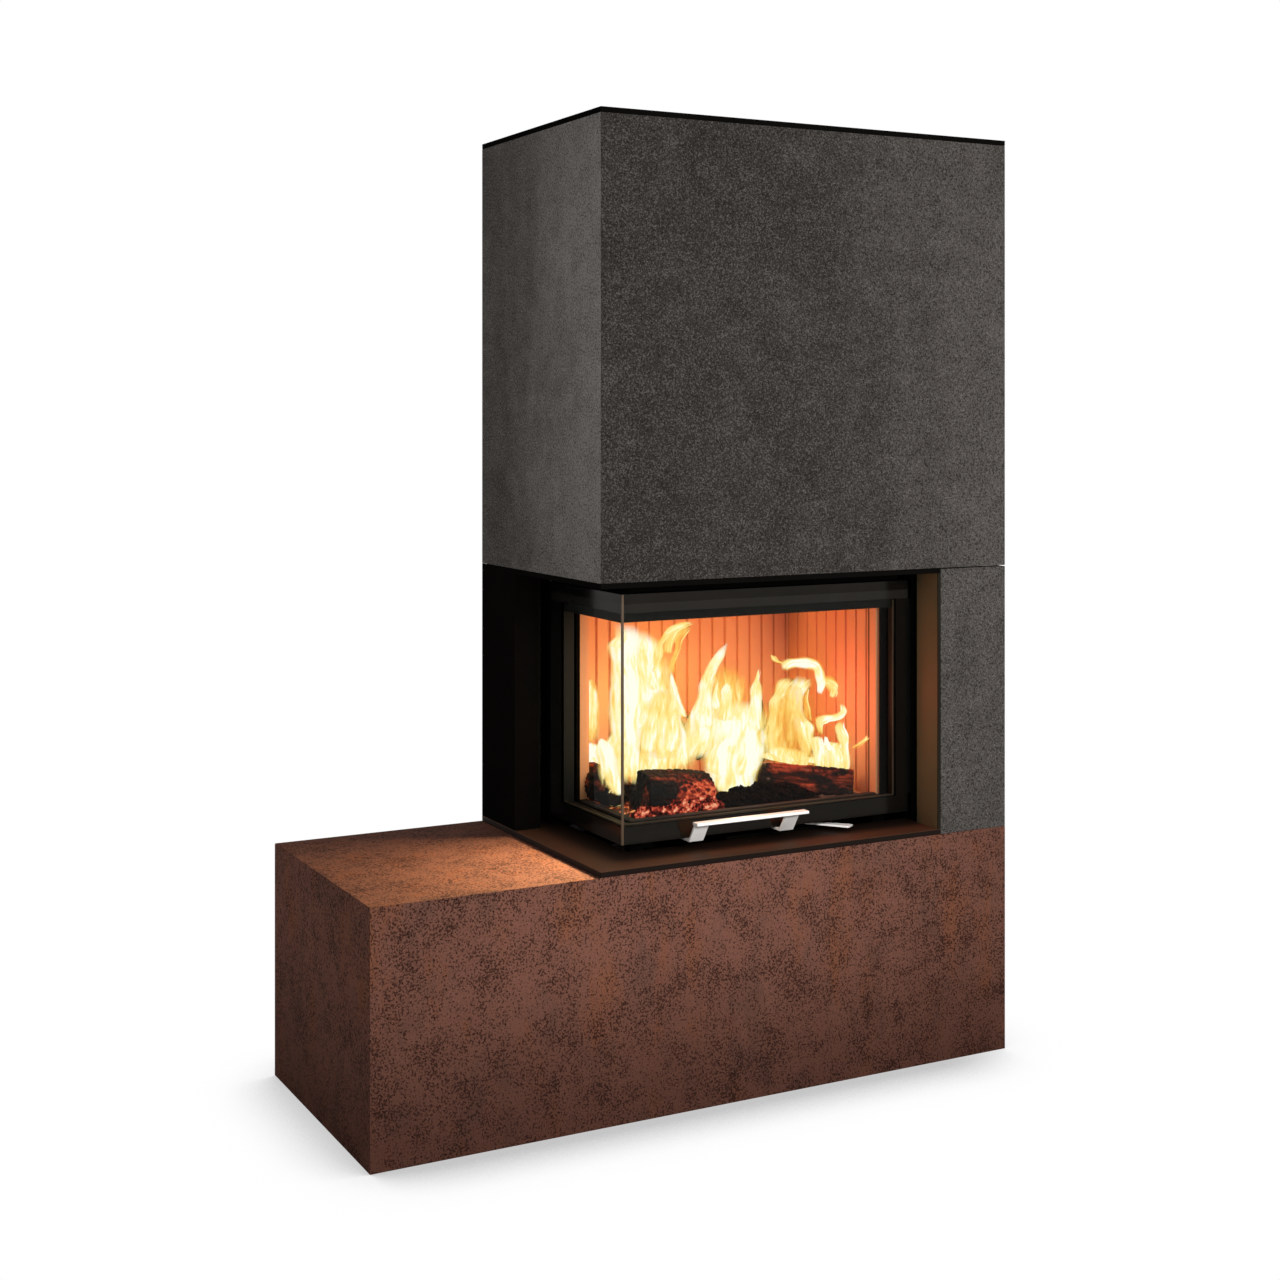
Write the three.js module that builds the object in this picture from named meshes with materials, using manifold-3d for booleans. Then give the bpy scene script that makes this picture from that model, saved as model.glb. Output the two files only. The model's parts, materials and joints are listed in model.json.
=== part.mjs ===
// Corner fireplace with a side bench.
// A firebox with a two-sided glass door that lifts behind the hood stands in an open front-left corner.
// Ceramic-faced boards clad it: rust-coloured on the base and bench, grey on the pillar and the hood.
// Millimetres. X runs to the right, Y into the wall and Z up. The origin is the middle of the footprint.

import * as THREE from 'three';
import { mergeVertices } from 'three/addons/utils/BufferGeometryUtils.js';
import Module from 'manifold-3d';

const wasm = await Module();
wasm.setup();

// ---------------------------------------------------------------- driving dimensions

const WIDTH = 1472;
const DEPTH = 590;
const HEIGHT = 2000;
const TOWER_WIDTH = 997;
const BASE_TOP = 490;
const HOOD_BOTTOM = 1065;
const PILLAR_WIDTH = 175;
const BOARD = 20;
const GAP = 0.3;

const LEFT = -WIDTH / 2;
const RIGHT = WIDTH / 2;
const FRONT = -DEPTH / 2;
const BACK = DEPTH / 2;
const TOWER_LEFT = RIGHT - TOWER_WIDTH;
const PILLAR_LEFT = RIGHT - PILLAR_WIDTH;
const TOP_PLATE = 11;
const JOINT = 2;

const TRAY_TOP = BASE_TOP + 11.6;
const TRAY_DEPTH = 127;
const LINTEL_BOTTOM = HOOD_BOTTOM - 10.7;

const DOOR_FRONT = -200;
const DOOR_LEFT = -166;
const DOOR_RIGHT = 543;
const DOOR_REAR = 139;
const DOOR_BOTTOM = 524;
const DOOR_TOP = 1032;
const GLASS = 5;
const FRAME_DEPTH = 25;
const DOOR_BACK = DOOR_FRONT + GLASS + FRAME_DEPTH;
const DOOR_INSIDE = DOOR_LEFT + GLASS + FRAME_DEPTH;

const BODY_LEFT = -127;
const BODY_RIGHT = 521;
const BODY_FRONT = -161;
const BODY_BACK = 240;
const BODY_BOTTOM = 518;
const BODY_TOP = 1040;
const BODY_WALL = 4;
const CHAMBER_RIGHT = 489;
const CHAMBER_BACK = 205;
const CHAMBER_LEFT = -97;
const BRICK = 26;
const HEARTH = 552;
const LINING_TOP = 975;
const WINDOW_END = 80;
const LEFT_LINING_START = WINDOW_END + 4;
const BAFFLE_SHELF = { z: [LINING_TOP + 29, LINING_TOP + 32], reach: 14, back: 120 };

const PULLEY_Z = 1590;
const CABLE_BEND = 42.5;
const CABLE_RADIUS = 1.5;
const LEFT_CABLE = { x: -149, y: 172 };
const RIGHT_CABLE = { x: 572, y: -183 };
const WEIGHT_Y = LEFT_CABLE.y + 2 * CABLE_BEND;
const CARRIAGE_TOP = 990;
const WEIGHT_TOP = 1540;
const LUG_HEIGHT = 15;

const FLUE = { x: 180, y: 40, z: 1800, outer: 90, inner: 88, bend: 150 };
const INTAKE = { x: 190, y: -50, z: 300, outer: 62, inner: 60, bend: 90 };
const SLEEVE = 8;
const AIR_BOX = { x: [105, 405], y: [-158, 20], z: [INTAKE.z + 155, 506] };
const LEVER = { x: 299, y: -137 };

// ---------------------------------------------------------------- materials

const finish = (color, roughness, metalness) =>
  new THREE.MeshStandardMaterial({ color, roughness, metalness });
const greyCeramic = finish(0x474441, 0.75, 0.1);
const rustCeramic = finish(0x6e4132, 0.75, 0.1);
const board = finish(0xb9b3a8, 0.95, 0);
const blackSteel = finish(0x1b1b1c, 0.5, 0.7);
const bronzeSteel = finish(0x4a352a, 0.55, 0.7);
const zincSteel = finish(0x9a9da0, 0.45, 0.9);
const stainless = finish(0xd6d6d4, 0.3, 1);
const chamotte = finish(0xd98a52, 0.95, 0);
const castIron = finish(0x2a2a2b, 0.7, 0.6);
const ceramicGlass = new THREE.MeshStandardMaterial({
  color: 0x20201e,
  roughness: 0.05,
  metalness: 0,
  transparent: true,
  opacity: 0.35,
});
const rope = finish(0x2d2c2a, 1, 0);
const charredWood = finish(0x2b1d17, 0.95, 0);

// ---------------------------------------------------------------- shaping

function solid(geometry) {
  geometry.deleteAttribute('normal');
  geometry.deleteAttribute('uv');
  const merged = mergeVertices(geometry, 1e-4);
  const vertProperties = merged.attributes.position.array;
  const triVerts = new Uint32Array(merged.index.array);
  return new wasm.Manifold(new wasm.Mesh({ numProp: 3, vertProperties, triVerts }));
}

const join = (first, ...rest) => rest.reduce((whole, next) => whole.add(next), first);
const cut = (first, ...rest) => rest.reduce((whole, next) => whole.subtract(next), first);

// A box between two values along each axis. Its corners are set directly, so faces that meet are level.
function box([x0, x1], [y0, y1], [z0, z1]) {
  const geometry = new THREE.BoxGeometry(1, 1, 1);
  const { position } = geometry.attributes;
  for (let i = 0; i < position.count; i++) {
    const [x, y, z] = [position.getX(i), position.getY(i), position.getZ(i)];
    position.setXYZ(i, x > 0 ? x1 : x0, y > 0 ? y1 : y0, z > 0 ? z1 : z0);
  }
  return solid(geometry);
}

// An outline pushed along an axis: its points are [y, z] along x, [x, z] along y and [x, y] along z.
function prism(axis, outline, from, to) {
  const shape = new THREE.Shape(outline.map(([u, v]) => new THREE.Vector2(u, v)));
  const geometry = new THREE.ExtrudeGeometry(shape, { depth: 1, bevelEnabled: false });
  const { position } = geometry.attributes;
  for (let i = 0; i < position.count; i++) {
    const [u, v, far] = [position.getX(i), position.getY(i), position.getZ(i) > 0.5];
    if (axis === 'x') position.setXYZ(i, far ? to : from, u, v);
    else if (axis === 'y') position.setXYZ(i, u, far ? from : to, v);
    else position.setXYZ(i, u, v, far ? to : from);
  }
  return solid(geometry);
}

function circle([u, v], radius, sides) {
  const points = [];
  for (let i = 0; i < sides; i++) {
    const turn = (2 * Math.PI * i) / sides;
    points.push([u + radius * Math.cos(turn), v + radius * Math.sin(turn)]);
  }
  return points;
}

const rod = (axis, centre, radius, from, to, sides = 16) =>
  prism(axis, circle(centre, radius, sides), from, to);

// A band round the open corner (x, y): a front arm to xEnd and a left arm to yEnd, `deep` thick.
function cornerBand([x, y], [xEnd, yEnd], deep, [z0, z1]) {
  const outline = [
    [x, y],
    [xEnd, y],
    [xEnd, y + deep],
    [x + deep, y + deep],
    [x + deep, yEnd],
    [x, yEnd],
  ];
  return prism('z', outline, z0, z1);
}

// A skin over rings of points. An open row of rings gets flat ends; a closed one meets its first ring.
function loft(rings, closed) {
  const count = rings[0].length;
  const faces = [];
  const bands = closed ? rings.length : rings.length - 1;
  for (let r = 0; r < bands; r++) {
    const a = r * count;
    const b = ((r + 1) % rings.length) * count;
    for (let i = 0; i < count; i++) {
      const j = (i + 1) % count;
      faces.push(a + i, a + j, b + j, a + i, b + j, b + i);
    }
  }
  const end = (rings.length - 1) * count;
  for (let i = 1; i < count - 1 && !closed; i++) {
    faces.push(0, i + 1, i, end, end + i, end + i + 1);
  }
  const geometry = new THREE.BufferGeometry();
  geometry.setAttribute('position', new THREE.Float32BufferAttribute(rings.flat(2), 3));
  geometry.setIndex(faces);
  return solid(geometry);
}

// Stations of a route in a plane of constant X: points, and clockwise bends from one angle to another.
function route(parts) {
  return parts.flatMap(({ y, z, heading, radius, from, to, steps }) => {
    if (!radius) return [{ y, z, heading }];
    const stations = [];
    for (let i = 0; i <= steps; i++) {
      const at = THREE.MathUtils.degToRad(from + ((to - from) * i) / steps);
      stations.push({
        y: y + radius * Math.cos(at),
        z: z + radius * Math.sin(at),
        heading: THREE.MathUtils.radToDeg(at) - 90,
      });
    }
    return stations;
  });
}

function ringsAlong(stations, x, radius, sides) {
  return stations.map(({ y, z, heading }) => {
    const h = THREE.MathUtils.degToRad(heading);
    return circle([0, 0], radius, sides).map(([s, u]) => [x + s, y + u * Math.sin(h), z - u * Math.cos(h)]);
  });
}

function pipe(stations, x, outer, inner, sides = 20) {
  const outside = ringsAlong(stations, x, outer, sides);
  const inside = ringsAlong(stations, x, inner, sides).reverse();
  return loft([...outside, ...inside], true);
}

const fireplace = new THREE.Group();

function piece(name, shape, material) {
  const { vertProperties, triVerts } = shape.getMesh();
  const indexed = new THREE.BufferGeometry();
  indexed.setAttribute('position', new THREE.BufferAttribute(vertProperties, 3));
  indexed.setIndex(new THREE.BufferAttribute(triVerts, 1));
  const geometry = indexed.toNonIndexed();
  geometry.computeVertexNormals();
  const mesh = new THREE.Mesh(geometry, material);
  mesh.name = name;
  fireplace.add(mesh);
}

// ---------------------------------------------------------------- cladding boards

// Plan outlines of boards round a block, mitred at its two front corners.
const MITRE = 0.25;
const frontBoard = (x0, x1) => [
  [x0 + MITRE, FRONT],
  [x1 - MITRE, FRONT],
  [x1 - MITRE - BOARD, FRONT + BOARD],
  [x0 + MITRE + BOARD, FRONT + BOARD],
];
const leftBoard = (x0) => [
  [x0, FRONT + MITRE],
  [x0 + BOARD, FRONT + BOARD + MITRE],
  [x0 + BOARD, BACK],
  [x0, BACK],
];
const rightBoard = (x1) => [
  [x1, FRONT + MITRE],
  [x1, BACK],
  [x1 - BOARD, BACK],
  [x1 - BOARD, FRONT + BOARD + MITRE],
];
const betweenSides = (x0, x1) => [x0 + BOARD + GAP, x1 - BOARD - GAP];

const BENCH_UNDER = BASE_TOP - BOARD;
const benchMitreUnder = (edge) => [
  [edge - 1, BASE_TOP - MITRE + 1],
  [edge + BOARD + 1, BENCH_UNDER - MITRE - 1],
  [edge + BOARD + 1, BASE_TOP + 1],
];
const benchMitreOver = (edge) => [
  [edge - 1, BASE_TOP + MITRE + 1],
  [edge - 1, BENCH_UNDER - 1],
  [edge + BOARD + 1, BENCH_UNDER + MITRE - 1],
];

function cladBase() {
  const benchFront = prism('x', benchMitreUnder(FRONT), LEFT - 1, TOWER_LEFT);
  const benchLeft = prism('y', benchMitreUnder(LEFT), FRONT - 1, BACK + 1);
  piece('base_front_panel', cut(prism('z', frontBoard(LEFT, RIGHT), 0, BASE_TOP), benchFront), rustCeramic);
  piece('base_left_panel', cut(prism('z', leftBoard(LEFT), 0, BASE_TOP), benchLeft), rustCeramic);
  piece('base_right_panel', prism('z', rightBoard(RIGHT), 0, BASE_TOP), rustCeramic);

  const throughBoard = [BACK - BOARD - 1, BACK + 1];
  const inletHole = rod('y', [INTAKE.x, INTAKE.z], INTAKE.inner + SLEEVE + GAP, ...throughBoard, 24);
  const backBoard = box(betweenSides(LEFT, RIGHT), [BACK - BOARD, BACK], [0, BENCH_UNDER - GAP]);
  piece('base_back_panel', cut(backBoard, inletHole), board);

  const benchTop = box([LEFT, TOWER_LEFT - GAP], [FRONT, BACK], [BENCH_UNDER, BASE_TOP]);
  const frontEdge = prism('x', benchMitreOver(FRONT), LEFT - 1, RIGHT);
  const leftEdge = prism('y', benchMitreOver(LEFT), FRONT - 1, BACK + 1);
  piece('bench_top_panel', cut(benchTop, frontEdge, leftEdge), rustCeramic);
}

function cladPillar() {
  const heights = [BASE_TOP + GAP, HOOD_BOTTOM - JOINT];
  const pillarFront = [
    [PILLAR_LEFT, FRONT],
    [RIGHT - MITRE, FRONT],
    [RIGHT - MITRE - BOARD, FRONT + BOARD],
    [PILLAR_LEFT, FRONT + BOARD],
  ];
  piece('pillar_front_panel', prism('z', pillarFront, ...heights), greyCeramic);
  piece('pillar_side_panel', prism('z', rightBoard(RIGHT), ...heights), greyCeramic);
  const behind = box([TOWER_LEFT + 3.5, RIGHT - BOARD - GAP], [BACK - BOARD, BACK], heights);
  piece('lower_back_panel', behind, board);
}

function cladHood() {
  const heights = [HOOD_BOTTOM + GAP, HEIGHT - TOP_PLATE - GAP];
  piece('hood_front_panel', prism('z', frontBoard(TOWER_LEFT, RIGHT), ...heights), greyCeramic);
  piece('hood_left_panel', prism('z', leftBoard(TOWER_LEFT), ...heights), greyCeramic);
  piece('hood_right_panel', prism('z', rightBoard(RIGHT), ...heights), greyCeramic);

  const flueHole = rod('y', [FLUE.x, FLUE.z], FLUE.inner + SLEEVE + GAP, BACK - BOARD - 1, BACK + 1, 24);
  const backBoard = box(betweenSides(TOWER_LEFT, RIGHT), [BACK - BOARD, BACK], heights);
  piece('hood_back_panel', cut(backBoard, flueHole), board);

  // The lid is a folded sheet: 3 mm thick, with an 11 mm edge and a row of warm-air slots near the wall.
  const sheet = 3;
  const lid = cut(
    box([TOWER_LEFT, RIGHT], [FRONT, BACK], [HEIGHT - TOP_PLATE, HEIGHT]),
    box(
      [TOWER_LEFT + sheet, RIGHT - sheet],
      [FRONT + sheet, BACK - sheet],
      [HEIGHT - TOP_PLATE - 1, HEIGHT - sheet],
    ),
  );
  const slots = [];
  const slotPitch = 70;
  const slotLength = 52;
  for (let x = TOWER_LEFT + 80; x < RIGHT - 80 - slotLength; x += slotPitch) {
    slots.push(box([x, x + slotLength], [150, 162], [HEIGHT - TOP_PLATE - 1, HEIGHT + 1]));
  }
  piece('hood_top_plate', cut(lid, ...slots), blackSteel);
}

// ---------------------------------------------------------------- carrying frames

const BAR = 30;
const INNER_FRONT = FRONT + BOARD + GAP;
const INNER_BACK = BACK - BOARD - GAP;

// A level ring of square bars. One that is open at the back has no rear bar.
function barRing([x0, x1], [y0, y1], z, openBack = false) {
  const inner = box([x0 + BAR, x1 - BAR], [y0 + BAR, openBack ? y1 + 1 : y1 - BAR], [z - 1, z + BAR + 1]);
  return cut(box([x0, x1], [y0, y1], [z, z + BAR]), inner);
}

// Posts and cross bars are a little slimmer than the rings that they are welded into.
const SLIM = 1;
const slim = ([from, to]) => [from + SLIM, to - SLIM];
const post = (x, y, heights) => box(slim([x, x + BAR]), slim([y, y + BAR]), heights);
const crossBar = (x, ys, z, wide = BAR) => box(slim([x, x + wide]), slim(ys), slim([z, z + BAR]));
const INNER = [INNER_FRONT, INNER_BACK];

// A levelling foot: a stem that screws into the lower ring, on a round pad.
const levellingFoot = (at, ringZ) => [rod('z', at, 6, 4, ringZ + 5, 10), rod('z', at, 14, 0, 5, 12)];

function buildBaseFrame() {
  const span = [LEFT + BOARD + GAP, RIGHT - BOARD - GAP];
  const lowRing = 20;
  const highRing = BENCH_UNDER - GAP - BAR;
  const bars = [barRing(span, INNER, lowRing), barRing(span, INNER, highRing)];
  for (const x of [span[0], TOWER_LEFT - BAR, 300, span[1] - BAR]) {
    for (const y of [INNER_FRONT, INNER_BACK - BAR]) {
      bars.push(post(x, y, [lowRing + SLIM, highRing + SLIM]));
      bars.push(...levellingFoot([x + BAR / 2, y + BAR / 2], lowRing));
    }
  }
  for (const x of [LEFT + 230, TOWER_LEFT - BAR]) bars.push(crossBar(x, INNER, highRing));
  piece('base_frame', join(...bars), zincSteel);
}

const PULLEY_BEAM = PULLEY_Z + 60;

function buildTowerFrame() {
  const span = [TOWER_LEFT + BOARD + GAP, RIGHT - BOARD - GAP];
  const foot = BASE_TOP + GAP;
  const hoodRing = HOOD_BOTTOM + 3;
  const top = HEIGHT - TOP_PLATE - 4;
  const bars = [
    barRing(span, INNER, hoodRing, true),
    barRing(span, INNER, PULLEY_BEAM),
    barRing(span, INNER, top - BAR),
    post(span[0], INNER_FRONT, [hoodRing + SLIM, top - SLIM]),
    post(span[0], INNER_BACK - BAR, [foot, top - SLIM]),
    post(span[1] - BAR, INNER_FRONT, [foot, top - SLIM]),
    post(span[1] - BAR, INNER_BACK - BAR, [foot, top - SLIM]),
    ...[LEFT_CABLE, RIGHT_CABLE].map(({ x }) => crossBar(x - BAR / 2, INNER, PULLEY_BEAM)),
  ];
  piece('tower_frame', join(...bars), zincSteel);
}

const STAND_LEFT = TOWER_LEFT + TRAY_DEPTH;
const STAND_FRONT = FRONT + TRAY_DEPTH;

// The firebox on its own stand comes up through the middle of the board.
function buildHearthBoard() {
  const outer = box([TOWER_LEFT, RIGHT - BOARD - GAP], [INNER_FRONT, BACK], [BENCH_UNDER, BASE_TOP]);
  const standHole = box(
    [STAND_LEFT, BODY_RIGHT + 4],
    [STAND_FRONT, BODY_BACK + 4],
    [BENCH_UNDER - 1, BASE_TOP + 1],
  );
  piece('hearth_board', cut(outer, standHole), board);
}

// ---------------------------------------------------------------- steel round the opening

const CHEEK_FRONT = FRONT + 411;
const SHEET = 3;

function buildSurround() {
  const corner = [TOWER_LEFT, FRONT];
  const trayRight = PILLAR_LEFT - GAP;
  const trayEnds = [trayRight, INNER_BACK - BAR - GAP];
  const trayTop = cornerBand(corner, trayEnds, TRAY_DEPTH, [TRAY_TOP - SHEET, TRAY_TOP]);
  const trayEdge = cornerBand(corner, [trayRight, BACK], SHEET, [BASE_TOP + GAP, TRAY_TOP]);
  piece('hearth_tray', join(trayTop, trayEdge), bronzeSteel);

  const lintelDepth = 88;
  const lintelEnds = [PILLAR_LEFT - GAP, CHEEK_FRONT - GAP];
  const lintelHeights = [LINTEL_BOTTOM, HOOD_BOTTOM - 0.2];
  piece('lintel_plate', cornerBand(corner, lintelEnds, lintelDepth, lintelHeights), blackSteel);

  const revealFace = PILLAR_LEFT - 8;
  const revealDepth = 76;
  const reveal = [
    [revealFace, FRONT],
    [PILLAR_LEFT - GAP, FRONT],
    [PILLAR_LEFT - GAP, FRONT + SHEET],
    [revealFace + SHEET, FRONT + SHEET],
    [revealFace + SHEET, FRONT + revealDepth],
    [revealFace, FRONT + revealDepth],
  ];
  piece('right_reveal', prism('z', reveal, TRAY_TOP + GAP, LINTEL_BOTTOM - GAP), bronzeSteel);

  const cheekWidth = 60;
  const cheek = [
    [TOWER_LEFT, CHEEK_FRONT],
    [TOWER_LEFT + cheekWidth, CHEEK_FRONT],
    [TOWER_LEFT + cheekWidth, CHEEK_FRONT + SHEET],
    [TOWER_LEFT + SHEET, CHEEK_FRONT + SHEET],
    [TOWER_LEFT + SHEET, BACK],
    [TOWER_LEFT, BACK],
  ];
  piece('left_cheek', prism('z', cheek, TRAY_TOP + GAP, HOOD_BOTTOM - 0.2), blackSteel);
}

// ---------------------------------------------------------------- firebox

function buildStand() {
  const xs = [BODY_LEFT + 7, BODY_RIGHT - 7];
  const ys = [BODY_FRONT + 11, BODY_BACK - 5];
  const ringZ = AIR_BOX.z[0] - BAR - GAP;
  const bars = [barRing(xs, ys, ringZ)];
  for (const x of [xs[0], xs[1] - BAR]) {
    for (const y of [ys[0], ys[1] - BAR]) {
      bars.push(post(x, y, [2, BODY_BOTTOM - GAP]));
      bars.push(rod('z', [x + BAR / 2, y + BAR / 2], 28, 0, 6, 16));
    }
  }
  for (const x of [INTAKE.x - 84, INTAKE.x + 190]) bars.push(crossBar(x, ys, ringZ, 20));
  piece('firebox_stand', join(...bars), blackSteel);
}

function buildBody() {
  const outer = box([BODY_LEFT, BODY_RIGHT], [BODY_FRONT, BODY_BACK], [BODY_BOTTOM, BODY_TOP]);
  const hollow = box(
    [BODY_LEFT + BODY_WALL, BODY_RIGHT - BODY_WALL],
    [BODY_FRONT - 1, BODY_BACK - BODY_WALL],
    [BODY_BOTTOM + BODY_WALL, BODY_TOP - BODY_WALL],
  );
  const leftWindow = box(
    [BODY_LEFT - 1, BODY_LEFT + BODY_WALL + 1],
    [BODY_FRONT - 1, WINDOW_END],
    [BODY_BOTTOM + BODY_WALL, BODY_TOP - BODY_WALL],
  );
  const outlet = rod('z', [FLUE.x, FLUE.y], 110, BODY_TOP - 10, BODY_TOP + 10, 20);
  const airSlot = box([230, 350], [-92, -62], [BODY_BOTTOM - 1, BODY_BOTTOM + 10]);
  const leverHole = rod('z', [LEVER.x, LEVER.y], 6.5, BODY_BOTTOM - 1, BODY_BOTTOM + 10, 12);
  const shell = cut(outer, hollow, leftWindow, outlet, airSlot, leverHole);
  const { reach, back, z } = BAFFLE_SHELF;
  const right = BODY_RIGHT - BODY_WALL;
  const left = BODY_LEFT + BODY_WALL;
  const shelves = [
    box([right - reach, right + 1], [BODY_FRONT + 11, back], z),
    box([left - 1, left + reach], [LEFT_LINING_START, back], z),
  ];
  piece('firebox_body', join(shell, ...shelves), blackSteel);
}

// The flat frame that the closed door seals against.
function buildFaceFrame() {
  const plate = 4;
  const at = [BODY_LEFT - plate - GAP, BODY_FRONT - plate - GAP];
  const ends = [DOOR_RIGHT - 3, DOOR_REAR + 11];
  const heights = [BODY_BOTTOM, BODY_TOP + 12];
  const bottomRail = cornerBand(at, ends, plate, [heights[0], HEARTH + 8]);
  const topRail = cornerBand(at, ends, plate, [LINING_TOP + 15, heights[1]]);
  const rightPost = box([CHAMBER_RIGHT + 4, ends[0]], [at[1], at[1] + plate], heights);
  const rearPost = box([at[0], at[0] + plate], [WINDOW_END, ends[1]], heights);
  piece('face_frame', join(bottomRail, topRail, rightPost, rearPost), blackSteel);
}

// A grooved fireclay slab: wide lands with a groove of 7 mm by 7 mm between each two.
function ribbedOutline(length, count) {
  const pitch = length / count;
  const land = pitch - 7;
  const flank = 1;
  const proud = 7;
  const points = [];
  for (let i = 0; i < count; i++) {
    const start = i * pitch + (pitch - land) / 2;
    points.push([start - flank, proud], [start, 0], [start + land, 0], [start + land + flank, proud]);
  }
  return [[0, proud], ...points, [length, proud], [length, BRICK], [0, BRICK]];
}

function buildLinings() {
  const heights = [HEARTH + GAP, LINING_TOP];
  const inside = BODY_WALL + 1;
  const x0 = BODY_LEFT + inside;
  const x1 = BODY_RIGHT - inside;
  const y0 = BODY_FRONT + 3;
  const backRibs = ribbedOutline(x1 - x0, 19).map(([u, v]) => [x0 + u, CHAMBER_BACK + v]);
  piece('lining_back', prism('z', backRibs, ...heights), chamotte);

  const sideEnd = CHAMBER_BACK - GAP;
  const rightRibs = ribbedOutline(sideEnd - y0, 9).map(([u, v]) => [CHAMBER_RIGHT + v, sideEnd - u]);
  piece('lining_right', prism('z', rightRibs, ...heights), chamotte);

  const leftRibs = ribbedOutline(sideEnd - LEFT_LINING_START, 3).map(([u, v]) => [
    CHAMBER_LEFT - v,
    LEFT_LINING_START + u,
  ]);
  piece('lining_left_rear', prism('z', leftRibs, ...heights), chamotte);

  const floorHeights = [BODY_BOTTOM + BODY_WALL + GAP, HEARTH];
  const floor = box([x0, x1], [y0, BODY_BACK - inside], floorHeights);
  const leverWell = rod('z', [LEVER.x, LEVER.y], 10, BODY_BOTTOM, BODY_BOTTOM + 12, 10);
  piece('hearth_floor', cut(floor, leverWell), chamotte);

  const sillEnds = [CHAMBER_RIGHT - GAP, LEFT_LINING_START - GAP];
  piece('ember_sill', cornerBand([x0, y0], sillEnds, 17, [HEARTH + GAP, HEARTH + 10]), castIron);

  const lower = [LINING_TOP + GAP, LINING_TOP + BRICK];
  const upper = [BAFFLE_SHELF.z[1] + GAP, BAFFLE_SHELF.z[1] + BRICK - 1];
  piece('baffle_lower', box([x0, x1], [-40, BODY_BACK - inside], lower), chamotte);
  piece('baffle_upper', box([x0, x1], [y0, BAFFLE_SHELF.back], upper), chamotte);
}

// ---------------------------------------------------------------- smoke and air

function buildFlue() {
  const wall = 3;
  const seat = { z: BODY_TOP + GAP, halfX: 230, halfY: 150 };
  const shoulder = { z: 1180, half: 100 };
  const neckTop = 1230;
  const level = (halfX, halfY, z) => [
    [FLUE.x - halfX, FLUE.y - halfY, z],
    [FLUE.x + halfX, FLUE.y - halfY, z],
    [FLUE.x + halfX, FLUE.y + halfY, z],
    [FLUE.x - halfX, FLUE.y + halfY, z],
  ];
  // The dome is a hollow frustum with four flat sides and a round neck.
  const frustum = (inset, bottom, top) =>
    loft(
      [
        level(seat.halfX - inset, seat.halfY - inset, bottom),
        level(shoulder.half - inset, shoulder.half - inset, top),
      ],
      false,
    );
  const centre = [FLUE.x, FLUE.y];
  const dome = cut(
    join(frustum(0, seat.z, shoulder.z), rod('z', centre, FLUE.outer, shoulder.z - 1, neckTop, 20)),
    frustum(wall, seat.z - 1, shoulder.z - wall),
    rod('z', centre, FLUE.outer - wall, shoulder.z - 2 * wall, neckTop + 1, 20),
  );
  piece('flue_dome', dome, castIron);

  const bendStart = FLUE.z - FLUE.bend;
  const stations = route([
    { y: FLUE.y, z: neckTop + GAP, heading: 90 },
    { y: FLUE.y + FLUE.bend, z: bendStart, radius: FLUE.bend, from: 180, to: 90, steps: 6 },
    { y: BACK - 34, z: FLUE.z, heading: 0 },
  ]);
  piece('flue_elbow', pipe(stations, FLUE.x, FLUE.outer, FLUE.inner), blackSteel);
  piece('flue_collar', wallCollar(FLUE, 33), blackSteel);
}

// A wall sleeve, flush with the back of the boards, with a flange behind the board.
function wallCollar({ x, z, inner }, length) {
  const ring = rod('y', [x, z], inner + SLEEVE, BACK - length, BACK, 24);
  const flange = rod('y', [x, z], inner + SLEEVE + 14, BACK - BOARD - 4, BACK - BOARD - GAP, 24);
  const bore = rod('y', [x, z], inner, BACK - length - 1, BACK + 1, 24);
  return cut(join(ring, flange), bore);
}

function buildAir() {
  const bendY = INTAKE.y + INTAKE.bend;
  const stations = route([
    { y: BACK - 41, z: INTAKE.z, heading: 180 },
    { y: bendY, z: INTAKE.z + INTAKE.bend, radius: INTAKE.bend, from: -90, to: -180, steps: 6 },
    { y: INTAKE.y, z: AIR_BOX.z[0] - GAP, heading: 90 },
  ]);
  piece('air_duct', pipe(stations, INTAKE.x, INTAKE.outer, INTAKE.inner), zincSteel);
  piece('air_inlet_collar', wallCollar(INTAKE, 40), zincSteel);

  const wall = 2;
  const shrink = ([a, b]) => [a + wall, b - wall];
  const tub = cut(
    box(AIR_BOX.x, AIR_BOX.y, AIR_BOX.z),
    box(shrink(AIR_BOX.x), shrink(AIR_BOX.y), [AIR_BOX.z[0] + wall, AIR_BOX.z[1] + 1]),
    rod('z', [INTAKE.x, INTAKE.y], INTAKE.inner, AIR_BOX.z[0] - 1, AIR_BOX.z[0] + 5, 20),
  );
  piece('air_box', tub, blackSteel);
}

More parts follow.
